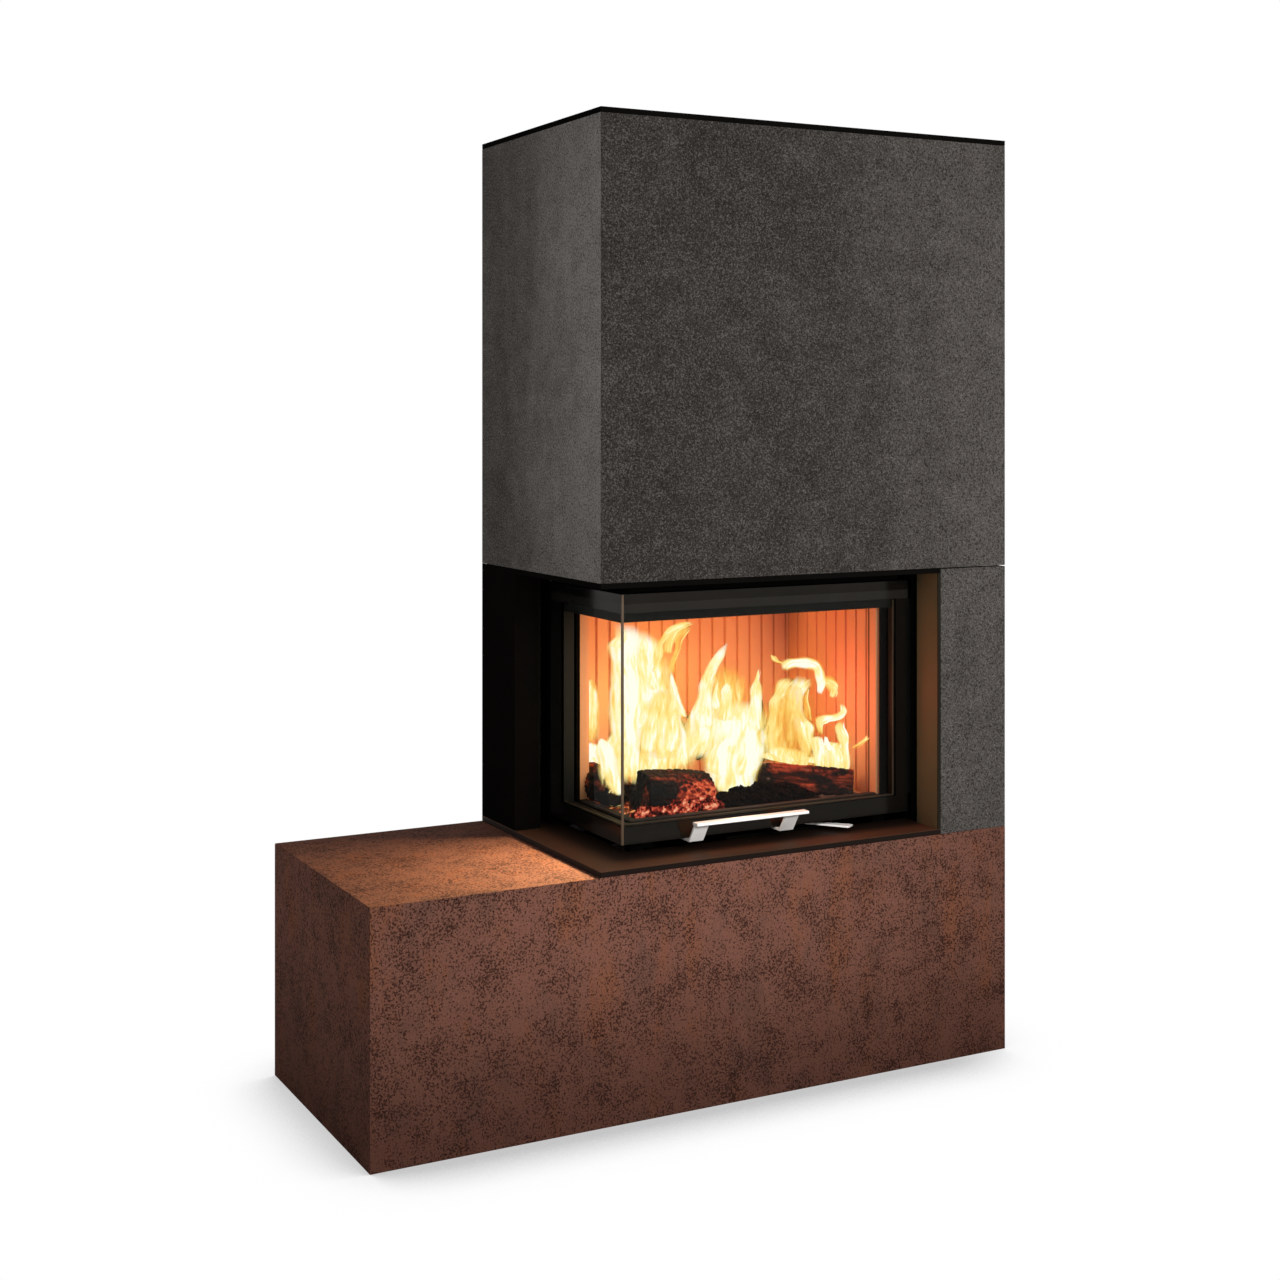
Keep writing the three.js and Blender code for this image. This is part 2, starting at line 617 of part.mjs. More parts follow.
// A flat lever under the door turns a fan-shaped plate over the air box.
function buildAirControl() {
  const pivot = new THREE.Vector2(LEVER.x, LEVER.y);
  const reach = 115;
  const aim = THREE.MathUtils.degToRad(-48.5);
  const along = new THREE.Vector2(Math.cos(aim), Math.sin(aim));
  const across = new THREE.Vector2(-along.y, along.x);
  const at = (forward, sideways) => {
    const p = pivot.clone().addScaledVector(along, forward).addScaledVector(across, sideways);
    return [p.x, p.y];
  };
  const bar = [at(0, -6), at(reach, -12), at(reach + 2, 12), at(0, 6)];
  const leverHeights = [511, 515];
  const lever = join(
    prism('z', bar, ...leverHeights),
    rod('z', [LEVER.x, LEVER.y], 14, ...leverHeights),
    rod('z', [LEVER.x, LEVER.y], 6, 514, BODY_BOTTOM + BODY_WALL + 5, 12),
  );
  piece('air_lever', lever, stainless);

  const fan = [at(14, -8), at(14, 8)];
  for (let turn = 140; turn <= 220; turn += 10) {
    const swing = THREE.MathUtils.degToRad(turn);
    fan.push(at(140 * Math.cos(swing), 140 * Math.sin(swing)));
  }
  piece('air_damper', prism('z', fan, 507.5, 510.7), blackSteel);
}

// ---------------------------------------------------------------- lifting door

const BOTTOM_RAIL = 37;
const TOP_RAIL = 39;
const STILE = 33;
const TOP_STEP = 20;
const STEP_BACK = 10;

function buildDoor() {
  const glassHeights = [DOOR_BOTTOM, DOOR_TOP];
  const gap = GAP;
  const frontSpan = [DOOR_LEFT + GLASS + gap, DOOR_RIGHT];
  const frontPane = box(frontSpan, [DOOR_FRONT, DOOR_FRONT + GLASS], glassHeights);
  const stripSize = 4;
  const sideStart = DOOR_FRONT + stripSize + gap;
  const sidePane = box([DOOR_LEFT, DOOR_LEFT + GLASS], [sideStart, DOOR_REAR], glassHeights);
  const strip = box([DOOR_LEFT, DOOR_LEFT + GLASS], [DOOR_FRONT, DOOR_FRONT + stripSize], glassHeights);
  piece('glass_front', frontPane, ceramicGlass);
  piece('glass_side', sidePane, ceramicGlass);
  piece('corner_strip', strip, stainless);

  const corner = [DOOR_LEFT + GLASS + gap, DOOR_FRONT + GLASS + gap];
  const deep = FRAME_DEPTH - gap;
  const ends = [DOOR_RIGHT, DOOR_REAR];
  const sightTop = DOOR_TOP - TOP_RAIL - TOP_STEP;
  const rails = [
    cornerBand(corner, ends, deep, [DOOR_BOTTOM, DOOR_BOTTOM + BOTTOM_RAIL]),
    cornerBand(corner, ends, deep, [DOOR_TOP - TOP_RAIL, DOOR_TOP]),
  ];
  const rightStile = box([DOOR_RIGHT - STILE, DOOR_RIGHT], [corner[1], DOOR_BACK], glassHeights);
  const rearStile = box([corner[0], DOOR_INSIDE], [DOOR_REAR - 57, DOOR_REAR], glassHeights);
  const topStep = box(
    [corner[0] + STEP_BACK, DOOR_RIGHT - 1],
    [corner[1] + STEP_BACK, DOOR_BACK],
    [sightTop, DOOR_TOP - 5],
  );
  const sideBand = box(
    [corner[0], DOOR_INSIDE],
    [corner[1] + STEP_BACK, DOOR_REAR],
    [sightTop, DOOR_TOP - 6],
  );
  piece('door_frame', join(...rails, rightStile, rearStile, topStep, sideBand), blackSteel);

  // The rope seal lies on the back of the frame, all the way round the opening.
  const ropeWide = 10;
  const ropeDeep = 4;
  const ropeAt = [DOOR_INSIDE + gap, DOOR_BACK + gap];
  const ropeEnds = [DOOR_RIGHT - 18, DOOR_REAR - 29];
  const low = DOOR_BOTTOM + 18;
  const high = DOOR_TOP - 28;
  const seal = [
    cornerBand(ropeAt, ropeEnds, ropeDeep, [low, low + ropeWide]),
    cornerBand(ropeAt, ropeEnds, ropeDeep, [high, high + ropeWide]),
    box([ropeEnds[0] - ropeWide, ropeEnds[0]], [ropeAt[1], ropeAt[1] + ropeDeep], [low, high + ropeWide]),
    box([ropeAt[0], ropeAt[0] + ropeDeep], [ropeEnds[1] - ropeWide, ropeEnds[1]], [low, high + ropeWide]),
  ];
  piece('door_seal', join(...seal), rope);
}

// A bright flat bar in front of the glass, on two sloping legs whose feet run under the door's bottom rail.
function buildHandle() {
  const barLeft = TOWER_LEFT + 242;
  const barRight = TOWER_LEFT + 512;
  const legWidth = 34;
  const legs = [barLeft, TOWER_LEFT + 461];
  const footTop = DOOR_BOTTOM - GAP;
  const footUnder = footTop - 5;
  const barUnder = 557;
  const barTop = 563;
  const heel = -216;
  const brow = -246;
  const legOutline = [
    [DOOR_BACK - 2, footTop],
    [heel + 2.5, footTop],
    [brow + 5.5, barTop],
    [brow, barTop],
    [heel, footUnder],
    [DOOR_BACK - 2, footUnder],
  ];
  const shapes = legs.map((x) => prism('x', legOutline, x, x + legWidth));
  const barOutline = [
    [brow - 6, barUnder + 1],
    [brow - 5, barUnder],
    [brow + 14, barUnder],
    [brow + 14, barTop],
    [brow - 5, barTop],
    [brow - 6, barTop - 1],
  ];
  piece('door_handle', join(...shapes, prism('x', barOutline, barLeft, barRight)), stainless);
}

// ---------------------------------------------------------------- lifting gear

const RAIL_TOP = 1540;

function channel([x0, x1], [y0, y1], mouth) {
  const wall = 2.5;
  const inside =
    mouth === 'front'
      ? box([x0 + wall, x1 - wall], [y0 - 1, y1 - wall], [TRAY_TOP, RAIL_TOP + 1])
      : box([x0 - 1, x1 - wall], [y0 + wall, y1 - wall], [TRAY_TOP, RAIL_TOP + 1]);
  return cut(box([x0, x1], [y0, y1], [TRAY_TOP + GAP, RAIL_TOP]), inside);
}

function buildGuides() {
  piece('guide_rail_left', channel([-162, -136], [158, 196], 'front'), blackSteel);
  piece('guide_rail_right', channel([556, 594], [-196, -170], 'left'), blackSteel);

  const foot = DOOR_BOTTOM + 36;
  const shoe = 40;
  const heights = [foot, CARRIAGE_TOP];
  const shoeHeights = [[foot, foot + shoe], [CARRIAGE_TOP - shoe, CARRIAGE_TOP]];
  const plate = 4;
  const carriageLeft = join(
    box([DOOR_LEFT + 6, DOOR_INSIDE - 2], [DOOR_REAR + GAP, DOOR_REAR + GAP + plate], heights),
    box([-152, -146], [DOOR_REAR + 1, 170], heights),
    ...shoeHeights.map((span) => box([-158, -140], [166, 190], span)),
  );
  const carriageRight = join(
    box([DOOR_RIGHT + GAP, DOOR_RIGHT + GAP + plate], [DOOR_FRONT + 6, DOOR_BACK - 2], heights),
    box([DOOR_RIGHT + 1, 568], [-186, -180], heights),
    ...shoeHeights.map((span) => box([564, 590], [-192, -174], span)),
  );
  piece('lift_bracket_left', carriageLeft, blackSteel);
  piece('lift_bracket_right', carriageRight, blackSteel);
}

const AXLE = 6;
const PULLEY_HALF = 6;

// A grooved wheel whose groove holds the cable's inner side, on a plain bore.
function pulley(x, y) {
  const rim = CABLE_BEND + 4.5;
  const groove = CABLE_BEND - CABLE_RADIUS - GAP;
  const bore = AXLE + GAP;
  const profile = [
    [bore, -PULLEY_HALF],
    [rim, -PULLEY_HALF],
    [rim, -PULLEY_HALF + 2],
    [groove, -2],
    [groove, 2],
    [rim, PULLEY_HALF - 2],
    [rim, PULLEY_HALF],
    [bore, PULLEY_HALF],
    [bore, -PULLEY_HALF],
  ];
  const wheel = new THREE.LatheGeometry(profile.map(([r, w]) => new THREE.Vector2(r, w)), 20);
  wheel.rotateZ(-Math.PI / 2);
  wheel.translate(x, y, PULLEY_Z);
  return solid(wheel);
}

// An inverted channel under the beam, with one axle pin for each wheel.
function pulleyBracket(x, axles) {
  const cheek = PULLEY_HALF + 3;
  const thick = 3;
  const y = [Math.min(...axles) - 20, Math.max(...axles) + 20];
  const bottom = PULLEY_Z - 14;
  const top = PULLEY_BEAM - GAP;
  const outside = box([x - cheek - thick, x + cheek + thick], y, [bottom, top]);
  const inside = box([x - cheek, x + cheek], [y[0] - 1, y[1] + 1], [bottom - 1, top - 5]);
  const pinReach = cheek + thick + 3;
  const pins = axles.map((at) => rod('x', [at, PULLEY_Z], AXLE, x - pinReach, x + pinReach, 12));
  return join(cut(outside, inside), ...pins);
}

function buildPulleys() {
  const leftAxle = LEFT_CABLE.y + CABLE_BEND;
  const frontAxle = RIGHT_CABLE.y + CABLE_BEND;
  const rearAxle = WEIGHT_Y - CABLE_BEND;
  piece('pulley_bracket_left', pulleyBracket(LEFT_CABLE.x, [leftAxle]), zincSteel);
  piece('pulley_bracket_right', pulleyBracket(RIGHT_CABLE.x, [frontAxle, rearAxle]), zincSteel);
  piece('pulley_left', pulley(LEFT_CABLE.x, leftAxle), castIron);
  piece('pulley_right_front', pulley(RIGHT_CABLE.x, frontAxle), castIron);
  piece('pulley_right_rear', pulley(RIGHT_CABLE.x, rearAxle), castIron);
}

function buildCounterweight() {
  const thick = 24;
  const tall = 100;
  const across = (half) => [WEIGHT_Y - half, WEIGHT_Y + half];
  const bar = box([-175, 598], across(thick / 2), [WEIGHT_TOP - tall, WEIGHT_TOP]);
  const lug = (x) => box([x - 8, x + 8], across(6), [WEIGHT_TOP - 1, WEIGHT_TOP + LUG_HEIGHT]);
  piece('counterweight', join(bar, lug(LEFT_CABLE.x), lug(RIGHT_CABLE.x)), castIron);
}

function buildCables() {
  const up = (y) => ({ y, z: CARRIAGE_TOP + GAP, heading: 90 });
  const down = { y: WEIGHT_Y, z: WEIGHT_TOP + LUG_HEIGHT + GAP, heading: -90 };
  const over = (y, from, to, steps) => ({ y, z: PULLEY_Z, radius: CABLE_BEND, from, to, steps });
  const left = route([up(LEFT_CABLE.y), over(LEFT_CABLE.y + CABLE_BEND, 180, 0, 10), down]);
  const right = route([
    up(RIGHT_CABLE.y),
    over(RIGHT_CABLE.y + CABLE_BEND, 180, 90, 5),
    over(WEIGHT_Y - CABLE_BEND, 90, 0, 5),
    down,
  ]);
  piece('cable_left', loft(ringsAlong(left, LEFT_CABLE.x, CABLE_RADIUS, 8), false), zincSteel);
  piece('cable_right', loft(ringsAlong(right, RIGHT_CABLE.x, CABLE_RADIUS, 8), false), zincSteel);
}

// ---------------------------------------------------------------- firewood

// A split log: an uneven seven-sided bar that tapers and wanders a little from end to end.
function log(from, to, radius, seed) {
  const sides = 7;
  const steps = 4;
  const start = new THREE.Vector3(...from);
  const end = new THREE.Vector3(...to);
  const along = end.clone().sub(start).normalize();
  const sideways = new THREE.Vector3(0, 0, 1).cross(along).normalize();
  const upwards = along.clone().cross(sideways);
  const rings = [];
  for (let s = 0; s <= steps; s++) {
    const centre = start.clone().lerp(end, s / steps);
    rings.push(
      circle([0, 0], 1, sides).map(([c, h], i) => {
        const uneven = 0.86 + 0.1 * Math.sin(seed + 2.3 * i) + 0.04 * Math.sin(1.7 * s + seed + i);
        const reach = radius * uneven * (1 - 0.03 * s);
        const p = centre.clone().addScaledVector(sideways, c * reach).addScaledVector(upwards, h * reach);
        return [p.x, p.y, Math.max(p.z, HEARTH + GAP)];
      }),
    );
  }
  return loft(rings, false);
}

function layFire() {
  const lie = (radius) => HEARTH + 0.8 * radius;
  piece('log_left', log([-50, 40, lie(46)], [-48, 185, lie(44)], 46, 0.4), charredWood);
  piece('log_centre', log([-66, -94, lie(56)], [100, -70, lie(54)], 54, 1.9), charredWood);
  piece('log_right', log([300, 42, lie(40)], [440, -90, lie(26)], 40, 3.1), charredWood);
}

cladBase();
cladPillar();
cladHood();
buildBaseFrame();
buildTowerFrame();
buildHearthBoard();
buildSurround();
buildStand();
buildBody();
buildFaceFrame();
buildLinings();
buildFlue();
buildAir();
buildAirControl();
buildDoor();
buildHandle();
buildGuides();
buildPulleys();
buildCounterweight();
buildCables();
layFire();

export default fireplace;
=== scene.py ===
# Corner fireplace with a side bench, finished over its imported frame.
# A firebox with a two-sided glass door that lifts behind the hood burns in an open front-left corner.
# Metres, in the frame's own axes: X to the right, Y into the wall, Z up.

import json
import math
import random

import bmesh
import bpy
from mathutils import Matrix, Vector, noise
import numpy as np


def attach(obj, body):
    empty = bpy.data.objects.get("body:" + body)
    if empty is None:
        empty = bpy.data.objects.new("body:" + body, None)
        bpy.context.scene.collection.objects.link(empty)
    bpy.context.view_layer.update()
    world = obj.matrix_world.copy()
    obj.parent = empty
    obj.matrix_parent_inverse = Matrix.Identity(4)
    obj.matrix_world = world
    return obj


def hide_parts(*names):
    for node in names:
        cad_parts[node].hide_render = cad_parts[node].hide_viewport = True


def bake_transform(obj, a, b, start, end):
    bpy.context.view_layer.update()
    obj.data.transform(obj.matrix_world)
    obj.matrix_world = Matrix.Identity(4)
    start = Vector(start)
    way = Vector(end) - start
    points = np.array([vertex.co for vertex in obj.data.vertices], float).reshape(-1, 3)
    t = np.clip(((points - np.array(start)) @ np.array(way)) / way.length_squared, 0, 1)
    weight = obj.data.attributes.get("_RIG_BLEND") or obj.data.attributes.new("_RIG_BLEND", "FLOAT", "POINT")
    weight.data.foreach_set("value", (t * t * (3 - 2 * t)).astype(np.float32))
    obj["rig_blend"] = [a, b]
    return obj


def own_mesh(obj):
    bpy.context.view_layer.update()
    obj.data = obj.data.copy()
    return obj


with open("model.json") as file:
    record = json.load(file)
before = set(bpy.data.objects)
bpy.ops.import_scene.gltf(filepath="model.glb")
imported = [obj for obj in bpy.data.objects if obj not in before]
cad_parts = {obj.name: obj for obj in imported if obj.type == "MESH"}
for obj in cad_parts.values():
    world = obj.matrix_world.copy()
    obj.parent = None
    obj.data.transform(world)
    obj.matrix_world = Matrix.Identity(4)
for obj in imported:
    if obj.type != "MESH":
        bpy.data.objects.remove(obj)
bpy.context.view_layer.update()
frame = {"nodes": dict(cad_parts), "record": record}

# ------------------------------------------------------------------ the view
# The fireplace is seen from the left of its open corner, at the height of the hood, by a level lens
# that is shifted down to take in the floor.

lens = bpy.data.cameras.new("viewpoint")
lens.sensor_width = 36
lens.lens = 52.72
lens.shift_y = -0.1759
viewpoint = bpy.data.objects.new("viewpoint", lens)
viewpoint.location = (-1.909, -3.569, 1.396)
viewpoint.rotation_euler = (math.pi / 2, 0, -math.radians(27.914))
bpy.context.scene.collection.objects.link(viewpoint)
bpy.context.scene.camera = viewpoint
bpy.context.scene.view_settings.view_transform = "Standard"

# ------------------------------------------------------------------ the studio
# A plain white floor and white surroundings. Four soft lamps stand round the fireplace, and a painted
# shadow darkens the floor's own glow close to the base, as under any heavy block that stands flush on it.


def srgb(red, green, blue):
    """A colour given as it looks on a screen, 0 to 255, in linear light."""
    shares = [value / 255 for value in (red, green, blue)]
    linear = [s / 12.92 if s <= 0.04045 else ((s + 0.055) / 1.055) ** 2.4 for s in shares]
    return (*linear, 1)


class Value:
    """One socket of a node tree. Arithmetic on it adds the Math nodes that work it out."""

    def __init__(self, nodes, socket):
        self.nodes, self.socket = nodes, socket

    def math(self, operation, *terms):
        return self.nodes.add("ShaderNodeMath", {"operation": operation}, dict(enumerate(terms)))


def arithmetic(operation, swapped):
    """The method behind one sign between a Value and another term, or between the term and it."""

    def method(self, other):
        return self.math(operation, other, self) if swapped else self.math(operation, self, other)

    return method


SIGNS = {"add": "ADD", "sub": "SUBTRACT", "mul": "MULTIPLY", "truediv": "DIVIDE", "pow": "POWER"}
for sign, operation in SIGNS.items():
    setattr(Value, f"__{sign}__", arithmetic(operation, False))
    setattr(Value, f"__r{sign}__", arithmetic(operation, True))


class Nodes:
    """A node tree that is written as expressions."""

    def __init__(self, tree):
        self.tree = tree

    def add(self, kind, settings=None, inputs=None, output=0):
        """One node: its settings first, then the numbers or links of its sockets. Gives one output."""
        node = self.tree.nodes.new(kind)
        for name, setting in (settings or {}).items():
            setattr(node, name, setting)
        for key, source in (inputs or {}).items():
            if isinstance(source, Value):
                self.tree.links.new(source.socket, node.inputs[key])
            else:
                node.inputs[key].default_value = source
        return Value(self, node.outputs[output])

    def ramp(self, value, *stops):
        """A colour that runs with a value through stops, each a value and its colour."""
        color = self.add("ShaderNodeValToRGB", {}, {"Fac": value}, "Color")
        elements = color.socket.node.color_ramp.elements
        while len(elements) < len(stops):
            elements.new(1)
        for element, (position, tint) in zip(elements, stops):
            element.position, element.color = position, tint
        return color

    def span(self, value, low, high, start=0.0, end=1.0):
        """A smooth step that runs from start, where value is low, to end, where it is high."""
        settings = {"interpolation_type": "SMOOTHSTEP"}
        inputs = {"Value": value, "From Min": low, "From Max": high, "To Min": start, "To Max": end}
        return self.add("ShaderNodeMapRange", settings, inputs)

    def blend(self, share, first, second):
        """Two colours mixed by a share from 0 to 1. Sockets 6 and 7 of a Mix node are its colours."""
        return self.add("ShaderNodeMix", {"data_type": "RGBA"}, {0: share, 6: first, 7: second}, 2)

    def noise(self, at, scale, detail=2.0, roughness=0.5, distortion=0.0):
        inputs = {"Vector": at, "Scale": scale, "Detail": detail, "Roughness": roughness}
        return self.add("ShaderNodeTexNoise", {}, inputs | {"Distortion": distortion})

    def vector(self, operation, first, second, key=1):
        return self.add("ShaderNodeVectorMath", {"operation": operation}, {0: first, key: second})

    def stretch(self, at, x, y, z):
        return self.vector("MULTIPLY", at, (x, y, z))


class Finish(Nodes):
    """The material of one surface. Its patterns read `at`, a point on the object in metres."""

    def __init__(self, name):
        self.material = bpy.data.materials.new(name)
        self.material.use_nodes = True
        super().__init__(self.material.node_tree)
        self.tree.nodes.clear()
        self.at = self.add("ShaderNodeTexCoord", output="Object")

    def axis(self, letter, at=None):
        return self.add("ShaderNodeSeparateXYZ", {}, {0: at or self.at}, letter)

    def attribute(self, name, output="Fac"):
        return self.add("ShaderNodeAttribute", {"attribute_name": name}, {}, output)

    def bump(self, height, rise):
        """A surface normal tilted by a height pattern whose full range stands `rise` metres high."""
        return self.add("ShaderNodeBump", {}, {"Height": height, "Distance": rise})

    def principled(self, **looks):
        """A surface whose looks are named as its sockets are, such as base_color."""
        sockets = {name: name.replace("_", " ").title().replace("Ior", "IOR") for name in looks}
        inputs = {sockets[name]: look for name, look in looks.items()}
        return self.add("ShaderNodeBsdfPrincipled", {}, inputs)

    def mixed(self, share, first, second):
        return self.add("ShaderNodeMixShader", {}, {0: share, 1: first, 2: second})

    def cover(self, shader):
        """Ends the tree in this shader and gives the material."""
        end = self.tree.nodes.new("ShaderNodeOutputMaterial")
        self.tree.links.new(shader.socket, end.inputs["Surface"])
        return self.material

    def coat(self, **looks):
        return self.cover(self.principled(**looks))


def show(name, mesh):
    piece = bpy.data.objects.new(name, mesh)
    bpy.context.scene.collection.objects.link(piece)
    return piece


def mesh_of(name, points, edges=(), faces=()):
    mesh = bpy.data.meshes.new(name)
    mesh.from_pydata(points, edges, faces)
    return mesh


def mesh_from(form, name):
    """The mesh that a bmesh form holds. The form itself is freed."""
    mesh = bpy.data.meshes.new(name)
    form.to_mesh(mesh)
    form.free()
    return mesh


def pale_floor():
    finish = Finish("pale_floor")
    # Painted shadow: an occlusion reading, faded by side, darkens the floor's camera-seen glow near the
    # base.
    open_air = finish.add("ShaderNodeAmbientOcclusion", {"samples": 8}, {"Distance": 0.24}, "AO")
    closeness = finish.span(open_air, 0.5, 1.0, 1.0, 0.0)
    front = finish.span(finish.axis("Y"), -0.33, -0.27, 0.57, 0.46)
    right_end = finish.span(finish.axis("X"), 0.55, 0.8, 1.0, 0.3)
    left_end = finish.span(finish.axis("X"), -0.95, -0.72, 0.42, 0.9)
    light = 1 - front * closeness**1.7 * right_end * left_end
    seen = finish.add("ShaderNodeLightPath", output="Is Camera Ray")
    plain = finish.add("ShaderNodeBsdfDiffuse", {}, {"Color": (0.8, 0.8, 0.8, 1)})
    white = finish.add("ShaderNodeEmission", {}, {"Color": (1, 1, 1, 1), "Strength": light})
    return finish.cover(finish.mixed(seen, plain, white))


FLOOR_REACH = 12
FLOOR_LEVEL = -0.0005
floor_sides = [(-1, -1), (1, -1), (1, 1), (-1, 1)]
floor_corners = [(x * FLOOR_REACH, y * FLOOR_REACH, FLOOR_LEVEL) for x, y in floor_sides]
floor_mesh = mesh_of("studio_floor", floor_corners, faces=[(0, 1, 2, 3)])
floor_mesh.materials.append(pale_floor())
show("studio_floor", floor_mesh)

surroundings = bpy.data.worlds.new("surroundings")
surroundings.use_nodes = True
bpy.context.scene.world = surroundings
sky = Nodes(surroundings.node_tree)
sky.tree.nodes.clear()
sees_white = 0
for ray in ("Is Camera Ray", "Is Glossy Ray", "Is Transmission Ray"):
    sees_white = sky.add("ShaderNodeLightPath", output=ray) + sees_white
sees_white = sees_white.math("MINIMUM", sees_white, 1)
soft, white = (
    sky.add("ShaderNodeBackground", {}, {"Color": (1, 1, 1, 1), "Strength": strength})
    for strength in (0.36, 1)
)
around = sky.add("ShaderNodeMixShader", {}, {0: sees_white, 1: soft, 2: white})
sky_end = sky.tree.nodes.new("ShaderNodeOutputWorld")
sky.tree.links.new(around.socket, sky_end.inputs["Surface"])


def hang_lamp(name, kind, place, watts, color=(1, 1, 1), aim=None, size=0.1):
    """A lamp at a place. An area lamp is a disc of some width that faces its aim, and a point lamp a
    ball whose size is its radius."""
    lamp = bpy.data.lights.new(name, kind)
    lamp.energy = watts
    lamp.color = color
    if kind == "AREA":
        lamp.shape = "DISK"
        lamp.size = size
    else:
        lamp.shadow_soft_size = size
    holder = bpy.data.objects.new(name, lamp)
    holder.location = place
    if aim:
        direction = Vector(aim) - Vector(place)
        holder.rotation_euler = direction.to_track_quat("-Z", "Y").to_euler()
    bpy.context.scene.collection.objects.link(holder)
    return holder


front_lamp = hang_lamp("front_lamp", "AREA", (0.5, -2.4, 1.5), 24, aim=(0.3, -0.3, 1.3), size=1.2)
base_lamp = hang_lamp("base_lamp", "AREA", (-0.08, -1.2, 1.12), 6.5, aim=(-0.08, -0.3, 0.45), size=0.3)
left_lamp = hang_lamp("left_lamp", "AREA", (-1.2, -0.5, 1.6), 4.7, aim=(-0.26, -0.1, 1.5), size=0.5)
back_lamp = hang_lamp("back_lamp", "AREA", (1.6, 2.4, 2.2), 45, aim=(0.3, 0.3, 1.0), size=1.2)


def light_only(lamp, pieces, state="INCLUDE"):
    """A lamp that falls on these pieces alone, or with "EXCLUDE" on all but these."""
    lit = bpy.data.collections.new("lit_by_" + lamp.name)
    for piece in pieces:
        lit.objects.link(piece)
    lamp.light_linking.receiver_collection = lit
    for row in lit.collection_objects:
        row.light_linking.link_state = state


# ------------------------------------------------------------------ steel frames
# Square galvanised tube, welded, stands inside the cladding on screw feet: one frame under the bench and
# the hearth, one tower frame that carries the hood. The firebox stands on its own black frame.


def finished(node, material, edge=0.0006, facets=2, sunk=None):
    """The CAD node's form with its edges eased, in the node's place, less the form of `sunk`."""
    same_place, same_plane, sharp = 1e-6, math.radians(0.4), math.radians(35)
    form = bmesh.new()
    form.from_mesh(frame["nodes"][node].data)
    bmesh.ops.remove_doubles(form, verts=form.verts, dist=same_place)
    bmesh.ops.dissolve_limit(form, angle_limit=same_plane, verts=form.verts, edges=form.edges)
    mesh = mesh_from(form, "finished_" + node)
    mesh.shade_smooth()
    mesh.set_sharp_from_angle(angle=sharp)
    mesh.materials.append(material)
    piece = show("finished_" + node, mesh)
    if edge:
        ease = piece.modifiers.new("ease", "BEVEL")
        ease.width = edge
        ease.segments = facets
        ease.limit_method = "ANGLE"
        ease.angle_limit = sharp
        ease.harden_normals = True
        settle(piece)
    if sunk:
        holes = piece.modifiers.new("holes", "BOOLEAN")
        holes.operation = "DIFFERENCE"
        holes.solver = "EXACT"
        holes.object = sunk
        settle(piece)
        bpy.data.objects.remove(sunk)
    dress(piece, body_of[node], node)
    return piece


def settle(piece):
    """Turns a piece with modifiers into a plain mesh."""
    evaluated = piece.evaluated_get(bpy.context.evaluated_depsgraph_get())
    mesh = bpy.data.meshes.new_from_object(evaluated)
    piece.modifiers.clear()
    piece.data = mesh


def dress(piece, body, node=None):
    """Hands a piece over: the body it rides, and the CAD node whose place it takes."""
    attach(piece, body)
    if node:
        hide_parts(node)


bodies = frame["record"]["behaviour"]["bodies"]
body_of = {node: body for body, nodes in bodies.items() for node in nodes}


def galvanised():
    finish = Finish("galvanised_steel")
    inputs = {"Vector": finish.at, "Scale": 160}
    spangle = finish.add("ShaderNodeTexVoronoi", {}, inputs, "Distance")
    cloud = finish.noise(finish.at, 14, 3)
    tone = finish.blend(cloud * 0.7 + spangle * 0.5, srgb(128, 131, 134), srgb(186, 189, 192))
    rough = 0.34 + 0.2 * cloud
    return finish.coat(base_color=tone, metallic=0.85, roughness=rough, normal=finish.bump(spangle, 0.0001))


def black_paint(name, dark, light, gloss):
    finish = Finish(name)
    grit = finish.noise(finish.at, 900, 2)
    wear = finish.noise(finish.at, 9, 4)
    return finish.coat(
        base_color=finish.blend(wear, dark, light),
        specular_ior_level=gloss,
        roughness=0.46 + 0.16 * wear,
        normal=finish.bump(grit, 0.00006),
    )


zinc = galvanised()
black = black_paint("black_stove_paint", srgb(14, 13, 12), srgb(22, 20, 18), 0)
TUBE_EDGE = 0.0015
finished("base_frame", zinc, TUBE_EDGE)
finished("tower_frame", zinc, TUBE_EDGE)
finished("firebox_stand", black, TUBE_EDGE)

# ------------------------------------------------------------------ air supply
# Outside air comes through a collar in the back board and a bent duct into a box under the firebox. A
# fan-shaped plate under the firebox meters it, turned by a flat stainless lever below the door.

finished("air_duct", zinc, edge=0)
finished("air_inlet_collar", zinc, edge=0.0008)
finished("air_box", black, edge=0.0005)
finished("air_damper", black, edge=0.0004)


def brushed_stainless():
    finish = Finish("brushed_stainless")
    lines = finish.noise(finish.stretch(finish.at, 12, 900, 900), 1, 3, 0.6)
    tone = finish.blend(lines, srgb(206, 201, 196), srgb(246, 243, 240))
    rough = 0.4 + 0.16 * lines
    return finish.coat(base_color=tone, metallic=0.3, roughness=rough, normal=finish.bump(lines, 0.00003))


stainless = brushed_stainless()
air_lever = finished("air_lever", stainless, edge=0.0006, facets=3)

# ------------------------------------------------------------------ firebox
# A welded steel body, painted black, with a flat face frame that the door closes against. Grooved
# fireclay slabs line it, two slabs above make the smoke baffles, and a cast sill holds the embers back.

finished("firebox_body", black, edge=0.0008)
finished("face_frame", black, edge=0.0005)


